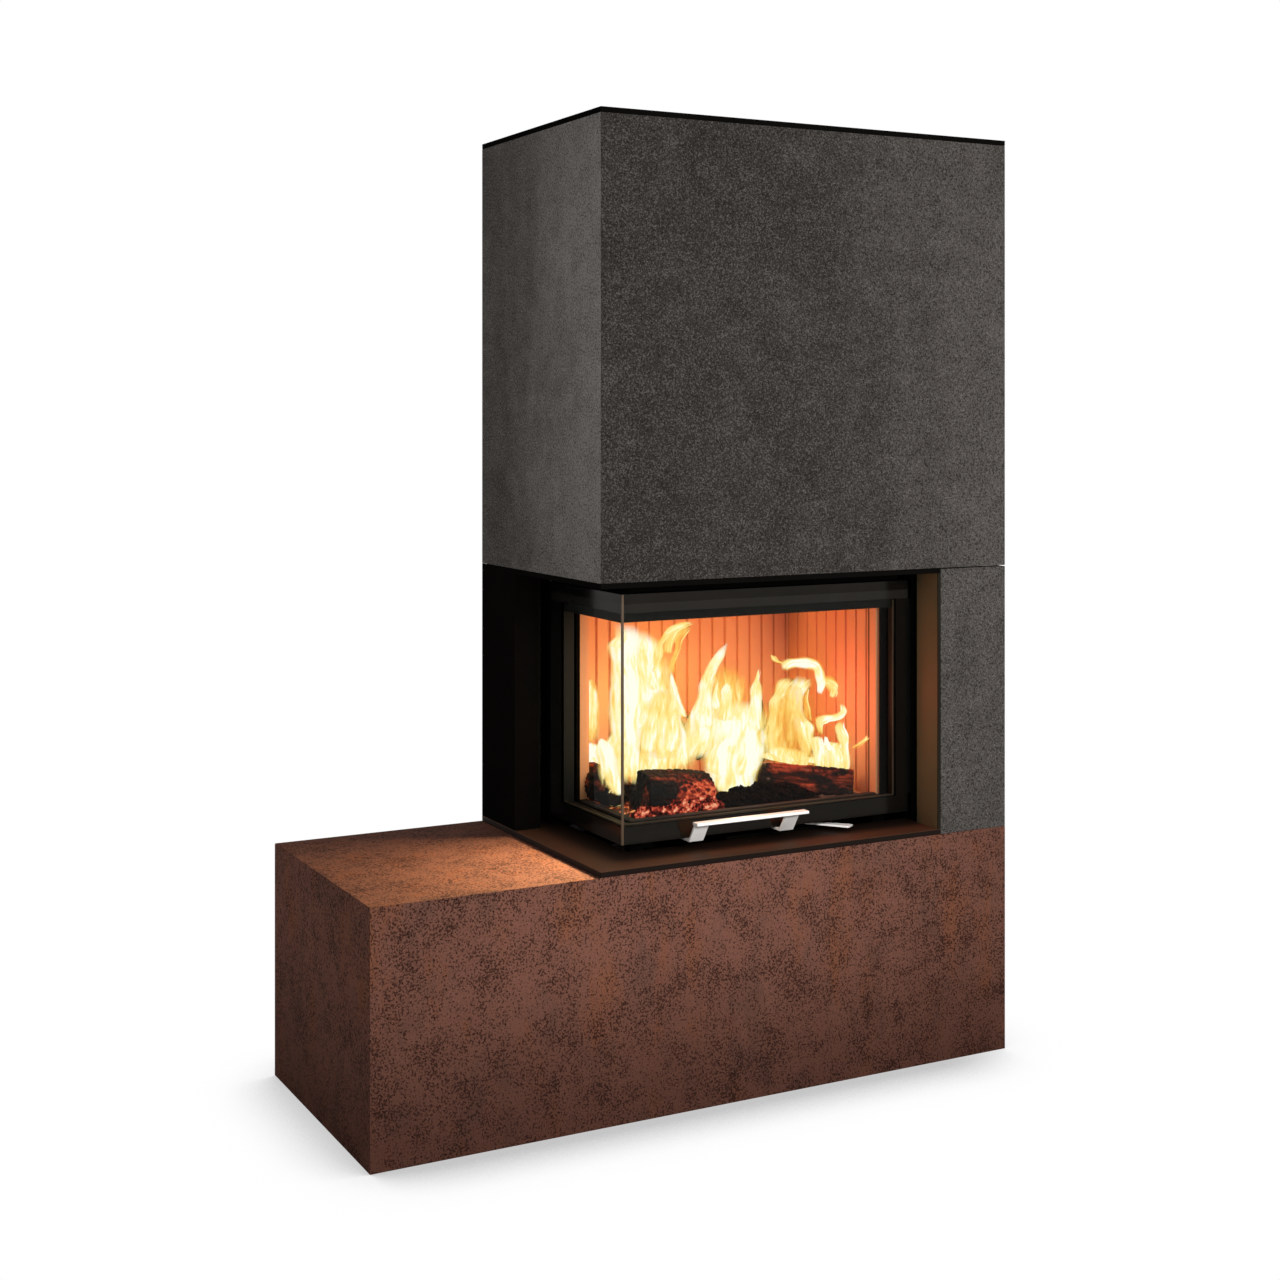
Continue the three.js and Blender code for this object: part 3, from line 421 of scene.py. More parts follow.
def fireclay():
    finish = Finish("fireclay")
    grain = finish.noise(finish.at, 320, 3, 0.6)
    soot = finish.noise(finish.at, 7, 4, 0.6)
    tone = finish.blend(soot, srgb(222, 158, 116), srgb(238, 182, 138))
    # Painted shade darkens the lining up in its far right corner.
    far_corner = finish.span(finish.axis("X"), 0.36, 0.48) * finish.span(finish.axis("Y"), 0.1, 0.2)
    corner_shade = far_corner * finish.span(finish.axis("Z"), 0.72, 0.94)
    tone = finish.blend(corner_shade * 0.6, tone, srgb(150, 84, 78))
    slab_joint = -0.128
    from_joint = finish.axis("Y") - slab_joint
    gap = from_joint.math("ABSOLUTE", from_joint)
    joint = finish.span(gap, 0.002, 0.004, 1.0, 0.0) * finish.span(finish.axis("X"), 0.46, 0.47)
    tone = finish.blend(joint * 0.85, tone, srgb(40, 18, 16))
    return finish.coat(base_color=tone, roughness=0.94, normal=finish.bump(grain, 0.0004))


def cast_iron():
    finish = Finish("cast_iron")
    grain = finish.noise(finish.at, 420, 3, 0.6)
    cloud = finish.noise(finish.at, 12, 3)
    tone = finish.blend(cloud, srgb(38, 36, 35), srgb(66, 62, 58))
    rough = 0.62 + 0.2 * grain
    return finish.coat(base_color=tone, metallic=0.5, roughness=rough, normal=finish.bump(grain, 0.00025))


clay = fireclay()
iron = cast_iron()
lining = [
    finished(slab, clay, edge=0.001, facets=3)
    for slab in ("lining_back", "lining_right", "lining_left_rear")
]
for slab in ("hearth_floor", "baffle_lower", "baffle_upper"):
    finished(slab, clay, edge=0.0015)
finished("ember_sill", iron, edge=0.001, facets=3)

# ------------------------------------------------------------------ flue
# A cast dome sits on the firebox and gathers the smoke into a steel elbow, which runs through a collar
# in the back board to the chimney behind.

finished("flue_dome", iron, edge=0.0012)
finished("flue_elbow", black, edge=0)
finished("flue_collar", black, edge=0.0008)

# ------------------------------------------------------------------ lifting gear
# The door hangs on two steel cables over grooved cast wheels inside the hood, and a cast bar behind
# balances it. Shoes on its brackets run in two upright channels.

# The channels are painted black, as painted shade in the gap beside the door.
for rail in ("guide_rail_left", "guide_rail_right"):
    finished(rail, black, edge=0.0006)
for bracket in ("pulley_bracket_left", "pulley_bracket_right"):
    finished(bracket, zinc, edge=0.0006)
for wheel in ("pulley_left", "pulley_right_front", "pulley_right_rear"):
    finished(wheel, iron, edge=0.0004)
finished("counterweight", iron, edge=0.002, facets=3)


class Recipe(Nodes):
    """A Geometry Nodes tree with named sizes, which makes one piece from a starting mesh."""

    def __init__(self, name, sizes):
        tree = bpy.data.node_groups.new(name, "GeometryNodeTree")
        super().__init__(tree)
        for way in ("INPUT", "OUTPUT"):
            tree.interface.new_socket("Geometry", in_out=way, socket_type="NodeSocketGeometry")
        self.keys = {}
        for label, kind in sizes.items():
            entry = tree.interface.new_socket(label, in_out="INPUT", socket_type="NodeSocket" + kind)
            self.keys[label] = entry.identifier
        inlet = tree.nodes.new("NodeGroupInput")
        self.start = Value(self, inlet.outputs["Geometry"])
        self.size = {label: Value(self, inlet.outputs[label]) for label in sizes}

    def end(self, geometry):
        """Makes the instances real, gives them their finish and ends the tree."""
        real = self.add("GeometryNodeRealizeInstances", {}, {"Geometry": geometry})
        looks = {"Geometry": real, "Material": self.size["Finish"]}
        finished_form = self.add("GeometryNodeSetMaterial", {}, looks)
        outlet = self.tree.nodes.new("NodeGroupOutput")
        self.tree.links.new(finished_form.socket, outlet.inputs["Geometry"])

    def sweep(self, route, profile):
        """Ends the tree in a profile carried along a route."""
        inputs = {"Curve": route, "Profile Curve": profile, "Fill Caps": True}
        self.end(self.add("GeometryNodeCurveToMesh", {}, inputs))

    def make(self, name, start_mesh, **sizes):
        """A piece with its own sizes, less the empty material slots that stand before its finish."""
        piece = show(name, start_mesh)
        steps = piece.modifiers.new("recipe", "NODES")
        steps.node_group = self.tree
        for label, value in sizes.items():
            steps[self.keys[label]] = value
        settle(piece)
        while piece.data.materials[0] is None:
            piece.data.materials.pop(index=0)
        return piece


def wire_rope():
    """Six round strands laid round a path, as in steel wire rope."""
    sizes = dict.fromkeys(("Strand Width", "Reach", "Lay", "Step"), "Float")
    rope = Recipe("wire_rope", sizes | {"Finish": "Material"})
    count = 6
    route = rope.add("GeometryNodeMeshToCurve", {}, {"Mesh": rope.start})
    steps = {"Curve": route, "Length": rope.size["Step"]}
    route = rope.add("GeometryNodeResampleCurve", {"mode": "LENGTH"}, steps)
    settings = {"domain": "SPLINE"}
    copies = rope.add("GeometryNodeDuplicateElements", settings, {"Geometry": route, "Amount": count})
    number = Value(rope, copies.socket.node.outputs["Duplicate Index"])
    travelled = rope.add("GeometryNodeSplineParameter", output="Length")
    angle = (travelled / rope.size["Lay"] + number / count) * (2 * math.pi)
    normal = rope.add("GeometryNodeInputNormal", output="Normal")
    along = rope.add("GeometryNodeInputTangent", output="Tangent")
    aside = rope.vector("CROSS_PRODUCT", along, normal)
    reach = rope.size["Reach"]
    outward = rope.vector("SCALE", normal, angle.math("COSINE", angle) * reach, "Scale")
    sideways = rope.vector("SCALE", aside, angle.math("SINE", angle) * reach, "Scale")
    shift = rope.vector("ADD", outward, sideways)
    laid = rope.add("GeometryNodeSetPosition", {}, {"Geometry": copies, "Offset": shift})
    round_size = {"Resolution": 6, "Radius": rope.size["Strand Width"] / 2}
    rope.sweep(laid, rope.add("GeometryNodeCurvePrimitiveCircle", {}, round_size))
    return rope


def line_through(name, points, closed=False):
    edges = [(k, k + 1) for k in range(len(points) - 1)]
    if closed:
        edges.append((len(points) - 1, 0))
    return mesh_of(name, points, edges)


CABLE_BEND = 0.0425
PULLEY_HEIGHT = 1.59
WEIGHT_CABLE = 0.257
DOOR_EYE, WEIGHT_EYE = 0.9903, 1.5553


def over_wheel(x, y, first, last):
    """Points over a wheel from one angle to another, in degrees above the back."""
    steps = 24
    for k in range(steps + 1):
        angle = math.radians(first + (last - first) * k / steps)
        yield x, y + CABLE_BEND * math.cos(angle), PULLEY_HEIGHT + CABLE_BEND * math.sin(angle)


rope = wire_rope()
CABLE = {"Strand Width": 0.0012, "Reach": 0.0009, "Lay": 0.018, "Finish": zinc}


def wire(name, node, points, step):
    piece = rope.make(name, line_through(name, points), Step=step, **CABLE)
    piece.data.shade_smooth()
    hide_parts(node)
    return piece


# Each cable's place across, its door side, and for each wheel the axle with the first and last angle.
CABLES = (
    ("cable_left", -0.149, 0.172, [(0.2145, 180, 0)]),
    ("cable_right", 0.572, -0.183, [(-0.1405, 180, 90), (0.2145, 90, 0)]),
)
FINE_STEP = 0.0015
for node, x, door_side, wheels in CABLES:
    upper = (x, door_side, PULLEY_HEIGHT)
    hung = wire(node + "_door_run", node, [(x, door_side, DOOR_EYE), upper], 2 * FINE_STEP)
    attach(hung, "root")
    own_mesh(hung)
    top = [point for wheel in wheels for point in over_wheel(x, *wheel)]
    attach(wire(node + "_over_wheels", node, top, FINE_STEP), "root")
    ends = (x, WEIGHT_CABLE, PULLEY_HEIGHT), (x, WEIGHT_CABLE, WEIGHT_EYE)
    drop = wire(node + "_weight_run", node, list(ends), FINE_STEP)
    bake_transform(drop, "root", "weight", start=ends[0], end=ends[1])

# ------------------------------------------------------------------ lifting door
# Two panes of ceramic glass, printed black round their edges, are clamped to a black steel frame with a
# strip between their ground edges. Glass rope behind the frame seals it, and a stainless bar lifts it.

door_black = black_paint("satin_door_paint", srgb(15, 19, 18), srgb(24, 26, 24), 0.16)
for part in ("door_frame", "lift_bracket_left", "lift_bracket_right"):
    finished(part, door_black, edge=0.0006)
WINDOW_BOTTOM, WINDOW_TOP = 0.561, 0.993


def printed_glass(name, along, window, gloss):
    """Ceramic glass, clear between two places along one axis and black print round that window."""
    finish = Finish(name)
    low, high = window
    side, height = finish.axis(along), finish.axis("Z")
    edge = 0.0004
    clear = (
        finish.span(side, low - edge, low)
        * finish.span(side, high, high + edge, 1.0, 0.0)
        * finish.span(height, WINDOW_BOTTOM - edge, WINDOW_BOTTOM)
        * finish.span(height, WINDOW_TOP, WINDOW_TOP + edge, 1.0, 0.0)
    )
    outer_side = 1 - finish.add("ShaderNodeNewGeometry", output="Backfacing")
    shine = finish.add("ShaderNodeFresnel", {}, {"IOR": 1.45}) * outer_side * gloss
    through = finish.add("ShaderNodeBsdfTransparent", {}, {"Color": (0.94, 0.93, 0.9, 1)})
    mirror = finish.add("ShaderNodeBsdfGlossy", {}, {"Color": (1, 1, 1, 1), "Roughness": 0.02})
    pane = finish.mixed(shine, through, mirror)
    dirt = finish.noise(finish.at, 22, 4)
    # A lighter band of print just above the window is a painted reflection.
    reflection_band = finish.span(height, 0.9925, 0.9935) * finish.span(height, 1.011, 1.013, 1.0, 0.0)
    tone = finish.blend(dirt, srgb(12, 13, 12), srgb(20, 19, 17))
    black_print = finish.principled(
        base_color=finish.blend(reflection_band, tone, srgb(38, 37, 34)),
        specular_tint=(1, 0.86, 0.72, 1),
        specular_ior_level=0.36,
        roughness=0.1 + 0.08 * dirt,
    )
    return finish.cover(finish.mixed(clear, black_print, pane))


def corner_edge():
    """The ground glass edges and the thin strip between them, tan along the middle."""
    finish = Finish("corner_edge")
    rub = finish.noise(finish.stretch(finish.at, 400, 400, 20), 1, 3)
    tone = finish.blend(rub, srgb(76, 58, 42), srgb(116, 92, 68))
    return finish.coat(base_color=tone, metallic=0.3, roughness=0.5)


front_glass = printed_glass("printed_front_pane", "X", (-0.2, 0.51), 0.3)
side_glass = printed_glass("printed_side_pane", "Y", (-0.21, 0.082), 0.2)
finished("glass_front", front_glass, edge=0.0004)
finished("glass_side", side_glass, edge=0.0004)
finished("corner_strip", corner_edge(), edge=0.0004)
door_handle = finished("door_handle", stainless, edge=0.0008, facets=3)
handle_lamp = hang_lamp("handle_lamp", "AREA", (-0.1, -1.1, 1.0), 13, aim=(0.15, -0.24, 0.55), size=0.2)
light_only(handle_lamp, [door_handle, air_lever])
handle_glow = hang_lamp("handle_glow", "POINT", (0.1, -0.215, 0.6), 0.12, (1, 0.66, 0.4), size=0.01)
light_only(handle_glow, [door_handle])


def glass_rope():
    finish = Finish("glass_fibre_rope")
    tone = finish.blend(finish.noise(finish.at, 500, 2), srgb(52, 50, 47), srgb(92, 88, 82))
    return finish.coat(base_color=tone, roughness=0.95)


def rounded(corners, bend):
    """Points round a closed path whose corners are smooth curves that start `bend` before each."""
    steps = 5
    points = []
    for k, corner in enumerate(corners):
        before, after = Vector(corners[k - 1]), Vector(corners[(k + 1) % len(corners)])
        corner = Vector(corner)
        near = corner + (before - corner).normalized() * bend
        far = corner + (after - corner).normalized() * bend
        for j in range(steps + 1):
            share = j / steps
            points.append(near * (1 - share) ** 2 + corner * 2 * share * (1 - share) + far * share**2)
    return points


# The seal is glued behind the frame in two rounds of rope, one inside the other.
SEAL = {"Strand Width": 0.0016, "Reach": 0.0011, "Lay": 0.024, "Step": 0.004, "Finish": glass_rope()}
SEAL_FRONT, SEAL_LEFT = -0.1677, -0.1337
for number, inset in enumerate((0.0024, 0.0076)):
    right, rear = 0.525 - inset, 0.110 - inset
    low, high = 0.542 + inset, 1.014 - inset
    sides = [(right, SEAL_FRONT), (SEAL_LEFT, SEAL_FRONT), (SEAL_LEFT, rear)]
    corners = [(*side, low) for side in sides] + [(*side, high) for side in reversed(sides)]
    path = line_through("door_rope", rounded(corners, 0.004), closed=True)
    seal = rope.make(f"door_rope_{number + 1}", path, **SEAL)
    seal.data.shade_smooth()
    dress(seal, "door", "door_seal")


def bead_bronze():
    finish = Finish("glazing_bead")
    tone = finish.blend(finish.noise(finish.at, 60, 3), srgb(52, 46, 34), srgb(70, 62, 46))
    return finish.coat(base_color=tone, metallic=0.2, roughness=0.5)


# A bronze bead inside the glass covers the joint between the panes and the frame.
BEAD_WIDTH = 0.0024
BEAD_FRONT, BEAD_FOOT = -0.1925, 0.563
bead = Recipe("glazing_bead", {"Width": "Float", "Finish": "Material"})
square = {"Width": bead.size["Width"], "Height": bead.size["Width"]}
bead_profile = bead.add("GeometryNodeCurvePrimitiveQuadrilateral", {"mode": "RECTANGLE"}, square)
bead.sweep(bead.add("GeometryNodeMeshToCurve", {}, {"Mesh": bead.start}), bead_profile)
bead_foot = [(x, y, BEAD_FOOT) for x, y in ((0.508, BEAD_FRONT), (-0.1585, BEAD_FRONT), (-0.1585, 0.080))]
bead_line = line_through("glazing_bead", [(0.508, BEAD_FRONT, 0.990), *bead_foot])
glazing_bead = bead.make("glazing_bead", bead_line, Width=BEAD_WIDTH, Finish=bead_bronze())
dress(glazing_bead, "door")

# ------------------------------------------------------------------ back boards
# Pale calcium silicate boards close the back. They are cut square, chalky to the touch and screwed to
# the frames. The one that carries the hearth is painted black, as painted shade under the firebox.


def silicate_board():
    finish = Finish("silicate_board")
    grain = finish.noise(finish.at, 260, 4, 0.65)
    cloud = finish.noise(finish.at, 5, 5, 0.65)
    tone = finish.blend(finish.span(cloud, 0.3, 0.7), srgb(196, 189, 176), srgb(224, 219, 210))
    tone = finish.blend(finish.span(grain, 0.56, 0.7) * 0.3, tone, srgb(158, 150, 138))
    return finish.coat(base_color=tone, roughness=0.95, normal=finish.bump(grain, 0.0003))


def turned(name, profile, socket=0.0):
    """A form turned round the Y axis from (radius, y) points. A socket of some radius sinks six-sided
    into its front end."""
    form, sides, flats = bmesh.new(), 18, 6
    per_flat, socket_depth = sides // flats, 1.2 * socket
    rings = []
    angles = [2 * math.pi * k / sides for k in range(sides)]
    for radius, depth in profile:
        rings.append([form.verts.new((radius * math.cos(a), depth, radius * math.sin(a))) for a in angles])
    for front, rear in zip(rings, rings[1:]):
        for k in range(sides):
            form.faces.new((front[k], front[k - 1], rear[k - 1], rear[k]))
    form.faces.new(rings[-1])
    if socket:
        mouth, floor = [], []
        for k in range(flats):
            angle = 2 * math.pi * k / flats
            x, z = socket * math.cos(angle), socket * math.sin(angle)
            mouth.append(form.verts.new((x, profile[0][1], z)))
            floor.append(form.verts.new((x, profile[0][1] - socket_depth, z)))
        for k in range(flats):
            n = (k + 1) % flats
            rim = [rings[0][(per_flat * k + j) % sides] for j in range(per_flat + 1)]
            form.faces.new((*rim, mouth[n], mouth[k]))
            form.faces.new((mouth[k], mouth[n], floor[n], floor[k]))
        form.faces.new(floor)
    else:
        form.faces.new(rings[0])
    bmesh.ops.recalc_face_normals(form, faces=form.faces)
    return bpy.data.objects.new(name, mesh_from(form, name))


silicate = silicate_board()
screw = turned("countersunk_screw", [(0.004, -0.0004), (0.0016, -0.003), (0.0016, -0.006)], socket=0.0015)
recess = turned("screw_recess", [(0.0044, 0.001), (0.0044, -0.0006), (0.0019, -0.0034)])
screw_line = Recipe("screw_line", {"Form": "Object", "Count": "Int", "Finish": "Material"})
screw_route = screw_line.add("GeometryNodeMeshToCurve", {}, {"Mesh": screw_line.start})
places = {"Curve": screw_route, "Count": screw_line.size["Count"]}
screw_places = screw_line.add("GeometryNodeResampleCurve", {"mode": "COUNT"}, places)
screw_form = screw_line.add("GeometryNodeObjectInfo", {}, {"Object": screw_line.size["Form"]}, "Geometry")
placed = {"Points": screw_places, "Instance": screw_form}
screw_line.end(screw_line.add("GeometryNodeInstanceOnPoints", {}, placed))

# Each board's left and right edge, its foot and top, and the screws along each of two edges.
BACK = 0.295
BACK_BOARDS = {
    "base_back_panel": (-0.7157, 0.7157, 0, 0.4697, 7),
    "lower_back_panel": (-0.2575, 0.7157, 0.4903, 1.063, 5),
    "hood_back_panel": (-0.2407, 0.7157, 1.0653, 1.9887, 5),
}
SCREW_INSET = 0.022
for panel, (left, right, low, high, per_edge) in BACK_BOARDS.items():
    heights = (low + SCREW_INSET, high - SCREW_INSET)
    corners = [(x, BACK, z) for z in heights for x in (left + SCREW_INSET, right - SCREW_INSET)]
    edges = mesh_of("screw_lines", corners, [(0, 1), (2, 3)])
    sizes = {"Count": per_edge, "Finish": zinc}
    holes = screw_line.make(panel + "_recesses", edges.copy(), Form=recess, **sizes)
    finished(panel, silicate, edge=0.0008, sunk=holes)
    dress(screw_line.make(panel + "_screws", edges, Form=screw, **sizes), "root")
# The hearth board's black is painted shade for the dark under the firebox.
finished("hearth_board", black, edge=0.0008)

# ------------------------------------------------------------------ base and bench cladding
# Large ceramic slabs, rust brown with dark iron specks, are glued to fire board and mitred at the
# corners. They clad the front and both ends of the base and make the bench seat.


def rust_ceramic(name, depth):
    """The rust slab, with painted shade toward the floor. A depth of 0 paints no more shade, and 1 the
    darkest.
    """
    finish = Finish(name)
    drift = finish.noise(finish.stretch(finish.at, 1, 1, 0.6), 3.4, 6, 0.62)
    body = finish.blend(drift, srgb(128, 84, 71), srgb(156, 106, 89))
    rusty = finish.span(finish.noise(finish.stretch(finish.at, 15, 15, 4), 1, 6, 0.66), 0.5, 0.68)
    body = finish.blend(rusty * 0.4, body, srgb(162, 96, 58))
    grey = finish.span(finish.noise(finish.stretch(finish.at, 11, 11, 5), 1.7, 6, 0.66), 0.5, 0.68)
    body = finish.blend(grey * 0.34, body, srgb(88, 72, 65))
    crowd = finish.noise(finish.at, 13, 7, 0.75)
    speck = finish.noise(finish.at, 240, 2, 0.5) + 0.6 * (crowd - 0.5)
    grain = finish.noise(finish.at, 380, 2, 0.5) + 0.3 * (crowd - 0.5)
    dark = finish.span(speck, 0.51, 0.585) * 0.7 + finish.span(grain, 0.5, 0.6) * 0.26
    tone = finish.blend(dark, body, srgb(40, 23, 21))
    fine = finish.noise(finish.at, 460, 2, 0.6)
    tone = finish.blend(finish.span(fine, 0.5, 0.7) * 0.26, tone, srgb(170, 128, 108))
    # Painted shade darkens the slab toward the floor, and all over by the depth.
    lower = finish.span(finish.axis("Z"), -0.02, 0.38, 0.46, 0.0)
    tone = finish.blend(depth + lower * (1 - depth), tone, srgb(44, 26, 21))
    return finish.coat(
        base_color=tone,
        roughness=0.86 - 0.12 * dark,
        specular_ior_level=0.02,
        normal=finish.bump(fine - speck, 0.0002),
    )


rust = rust_ceramic("rust_ceramic", 0)
# The base's left end and the bench seat are shaded copies of the slab: their depth is painted shade.
end_slab_in_shade = rust_ceramic("end_rust_ceramic", 0.3)
bench_slab_in_shade = rust_ceramic("bench_rust_ceramic", 0.36)
SLAB_EDGE = 0.0007
rust_boards = [
    finished(panel, look, SLAB_EDGE, 3)
    for panel, look in (
        ("base_front_panel", rust),
        ("base_left_panel", end_slab_in_shade),
        ("base_right_panel", rust),
        ("bench_top_panel", bench_slab_in_shade),
    )
]
*base_boards, bench_board = rust_boards
light_only(base_lamp, base_boards)
for lamp in (front_lamp, back_lamp):
    light_only(lamp, rust_boards, "EXCLUDE")

# ------------------------------------------------------------------ pillar and hood cladding
# The same slabs in a dark iron grey, cloudy and almost without gloss, clad the pillar beside the opening
# and the hood above it. A folded steel lid closes the hood.


def grey_ceramic(name, shade, light, painted_light_share):
    """The grey slab, painted lighter, as by more light, where the given share is 1."""
    finish = Finish(name)
    cloud = finish.noise(finish.stretch(finish.at, 4.6, 4.6, 3.4), 1, 8, 0.68)
    streak = finish.noise(finish.stretch(finish.at, 10, 10, 1.1), 1, 4, 0.62)
    share = painted_light_share(finish) + 1.5 * (cloud - 0.5) + 0.9 * (streak - 0.5)
    body = finish.blend(finish.span(share, -0.25, 1.25), shade, light)
    crowd = finish.noise(finish.stretch(finish.at, 14, 14, 20), 1, 7, 0.7)
    fine = finish.noise(finish.at, 330, 2, 0.7)
    pale = finish.span(fine + 0.2 * (crowd - 0.5), 0.5, 0.64) * 0.34
    tone = finish.blend(pale, body, srgb(156, 151, 146))
    pores = finish.noise(finish.at, 260, 2, 0.6) - 0.2 * (crowd - 0.5)
    dark = finish.span(pores, 0.5, 0.62) * 0.72
    tone = finish.blend(dark, tone, srgb(30, 27, 25))
    return finish.coat(
        base_color=tone,
        roughness=0.72 + 0.12 * fine,
        specular_ior_level=0.06,
        normal=finish.bump(fine, 0.00015),
    )


# Painted sheen: the hood's front face lightens toward its right.
def painted_sheen_to_right(finish):
    return finish.span(finish.axis("X"), 0.15, 0.75)


# Painted light: the hood's left face lightens toward its front corner.
def painted_light_to_front(finish):
    return finish.span(finish.axis("Y"), -0.3, 0.24, 1.0, 0.0)


def even(finish):
    return finish.noise(finish.at, 1.5) * 0.2 + 0.76


dark_grey, light_grey = srgb(58, 54, 51), srgb(92, 87, 83)
# The hood's front and left face are lit copies of the slab, with painted sheen and painted light; the
# pillar's is an even cloud.
front_grey = grey_ceramic("front_grey_ceramic", dark_grey, light_grey, painted_sheen_to_right)
side_grey = grey_ceramic("side_grey_ceramic", dark_grey, srgb(104, 100, 97), painted_light_to_front)
pillar_grey = grey_ceramic("pillar_grey_ceramic", dark_grey, light_grey, even)
for panel in ("pillar_front_panel", "pillar_side_panel", "hood_right_panel"):
    finished(panel, pillar_grey, SLAB_EDGE, 3)
finished("hood_front_panel", front_grey, SLAB_EDGE, 3)
hood_left = finished("hood_left_panel", side_grey, SLAB_EDGE, 3)
light_only(left_lamp, [hood_left])
finished("hood_top_plate", black, edge=0.0008)

# ------------------------------------------------------------------ steel round the opening
# Folded sheet closes the joints round the firebox: a bronze tray on the hearth and reveal beside the
# door, a black plate under the hood and a cheek behind the side pane.


def bronze_coat(name, dark, light, shade):
    """Bronze powder coat that turns black where `shade` gives 1."""
    finish = Finish(name)
    grit = finish.noise(finish.at, 700, 2)
    cloud = finish.noise(finish.at, 6, 3)
    tone = finish.blend(cloud, dark, light)
    tone = finish.blend(shade(finish), tone, srgb(16, 12, 10))
    return finish.coat(
        base_color=tone,
        metallic=0.2,
        specular_ior_level=0.1,
        roughness=0.5 + 0.1 * grit,
        normal=finish.bump(grit, 0.00008),
    )


def tray_shade(finish):
    """The tray's folded edge is black, and its strip against the firebox is darkened by the door's painted
    shadow.
    """
    edge = finish.span(finish.axis("Z"), 0.5002, 0.5008, 1.0, 0.0)
    # The door's shadow is painted on the strip of tray in front of the firebox.
    soot = finish.span(finish.axis("Y"), -0.265, -0.205) * finish.span(finish.axis("X"), -0.23, -0.17)
    return edge.math("MAXIMUM", edge * 0.9, soot * 0.85)


def reveal_shade(finish):
    return finish.span(finish.axis("Y"), -0.2934, -0.2922, 0.9, 0.0)


# The tray and the reveal are one bronze coat in two tints that paint the different light on them: the tray
# darker and redder, the reveal paler.
tray_bronze = bronze_coat("bronze_powder_coat", srgb(70, 46, 32), srgb(90, 60, 42), tray_shade)
reveal_bronze = bronze_coat("pale_bronze_powder_coat", srgb(88, 78, 56), srgb(106, 96, 71), reveal_shade)
finished("hearth_tray", tray_bronze, edge=0.0005)
finished("right_reveal", reveal_bronze, edge=0.0005)
for part in ("lintel_plate", "left_cheek"):
    finished(part, black, edge=0.0005)

# ------------------------------------------------------------------ firewood
# Three split beech logs lie on the hearth: round bark on one side, two split faces on the other. They
# are charred through, cracked across the grain, and glow where they lie in the embers.

HEARTH_TOP = 0.5525
FIRE_HEART = Vector((0.07, -0.135, 0.555))
FIRE_REACH = 0.12


def split_log(name, node, start, end, radius, turn, seed):
    """A log along its axis, with its first split face turned to an angle. Its grain attribute holds the
    place along and across the log in metres, its crack and ember_heat attributes run from 0 to 1."""
    around, along, caps = 108, 84, 9
    wedge, split_depth = 1.9, 0.66
    start, end = Vector(start), Vector(end)
    axis = (end - start).normalized()
    aside = Vector((0, 0, 1)).cross(axis).normalized()
    upward = axis.cross(aside)
    length = (end - start).length
    points, grain, cracks, faces = [], [], [], []

    def add_point(place, inward, angle, crack):
        out = radius * inward
        flat = (math.cos(angle) * out, math.sin(angle) * out)
        point = start + axis * place + aside * flat[0] + upward * flat[1]
        point.z = max(point.z, HEARTH_TOP)
        points.append(point)
        grain.append((place + seed, *flat))
        cracks.append(crack)

    def section(angle, place):
        """The split log's outline, its grooves and its cracks at one angle and place along it."""
        reach = 1.0
        for face in (turn, turn + wedge):
            facing = math.cos(angle - face)
            if facing > split_depth:
                reach = min(reach, split_depth / facing)
        around_axis = Vector((math.cos(angle), math.sin(angle), 0))
        ridge = noise.noise(around_axis * 3.1 + Vector((0, 0, place * 7 + seed)))
        fibre = noise.noise(around_axis * 11 + Vector((seed, 0, place * 9)))
        shard = noise.noise(around_axis * 24 + Vector((0, seed, place * 60)))
        spots = noise.voronoi(around_axis * 3.4 + Vector((seed, 0, place * 58)))[0]
        crack = max(0.0, 1 - (spots[1] - spots[0]) * 5)
        relief = 0.05 * ridge + 0.045 * fibre + 0.02 * shard - 0.055 * crack
        return (0.9 + relief) * reach, crack

    for step in range(along + 1):
        place = length * step / along
        end_wear = 1 - 0.06 * (2 * step / along - 1) ** 6
        for turn_step in range(around):
            angle = 2 * math.pi * turn_step / around
            reach, crack = section(angle, place)
            add_point(place, reach * end_wear, angle, crack)
    for step in range(along):
        row, after = step * around, (step + 1) * around
        for j in range(around):
            k = (j + 1) % around
            faces.append((row + j, row + k, after + k, after + j))
    for place, outward, ring in ((0, -1, 0), (length, 1, along * around)):
        for inner in range(1, caps):
            share = 1 - inner / caps
            row = len(points)
            for j in range(around):
                angle = 2 * math.pi * j / around
                x, y = math.cos(angle), math.sin(angle)
                rough = noise.noise(Vector((share * 5 * x, share * 5 * y, seed)))
                radial = max(0.0, 1 - abs(noise.noise(Vector((x * 4, y * 4, 9)))) * 9)
                dent = outward * (0.0035 * rough - 0.004 * radial * share)
                add_point(place + dent, section(angle, place)[0] * share, angle, radial)
            for j in range(around):
                k = (j + 1) % around
                quad = (ring + j, row + j, row + k, ring + k)
                faces.append(quad if outward < 0 else quad[::-1])
            ring = row
        hub = len(points)
        add_point(place, 0, 0, 0)
        for j in range(around):
            k = (j + 1) % around
            faces.append((ring + j, hub, ring + k) if outward < 0 else (ring + k, hub, ring + j))

    mesh = mesh_of(name, points, faces=faces)
    along_grain = [value for row in grain for value in row]
    mesh.attributes.new("grain", "FLOAT_VECTOR", "POINT").data.foreach_set("vector", along_grain)
    heat = [max(0.0, 1 - (point - FIRE_HEART).length / FIRE_REACH) for point in points]
    for label, values in (("crack", cracks), ("ember_heat", heat)):
        mesh.attributes.new(label, "FLOAT", "POINT").data.foreach_set("value", values)
    mesh.shade_smooth()
    mesh.materials.append(charred_beech)
    dress(show(name, mesh), "root", node)


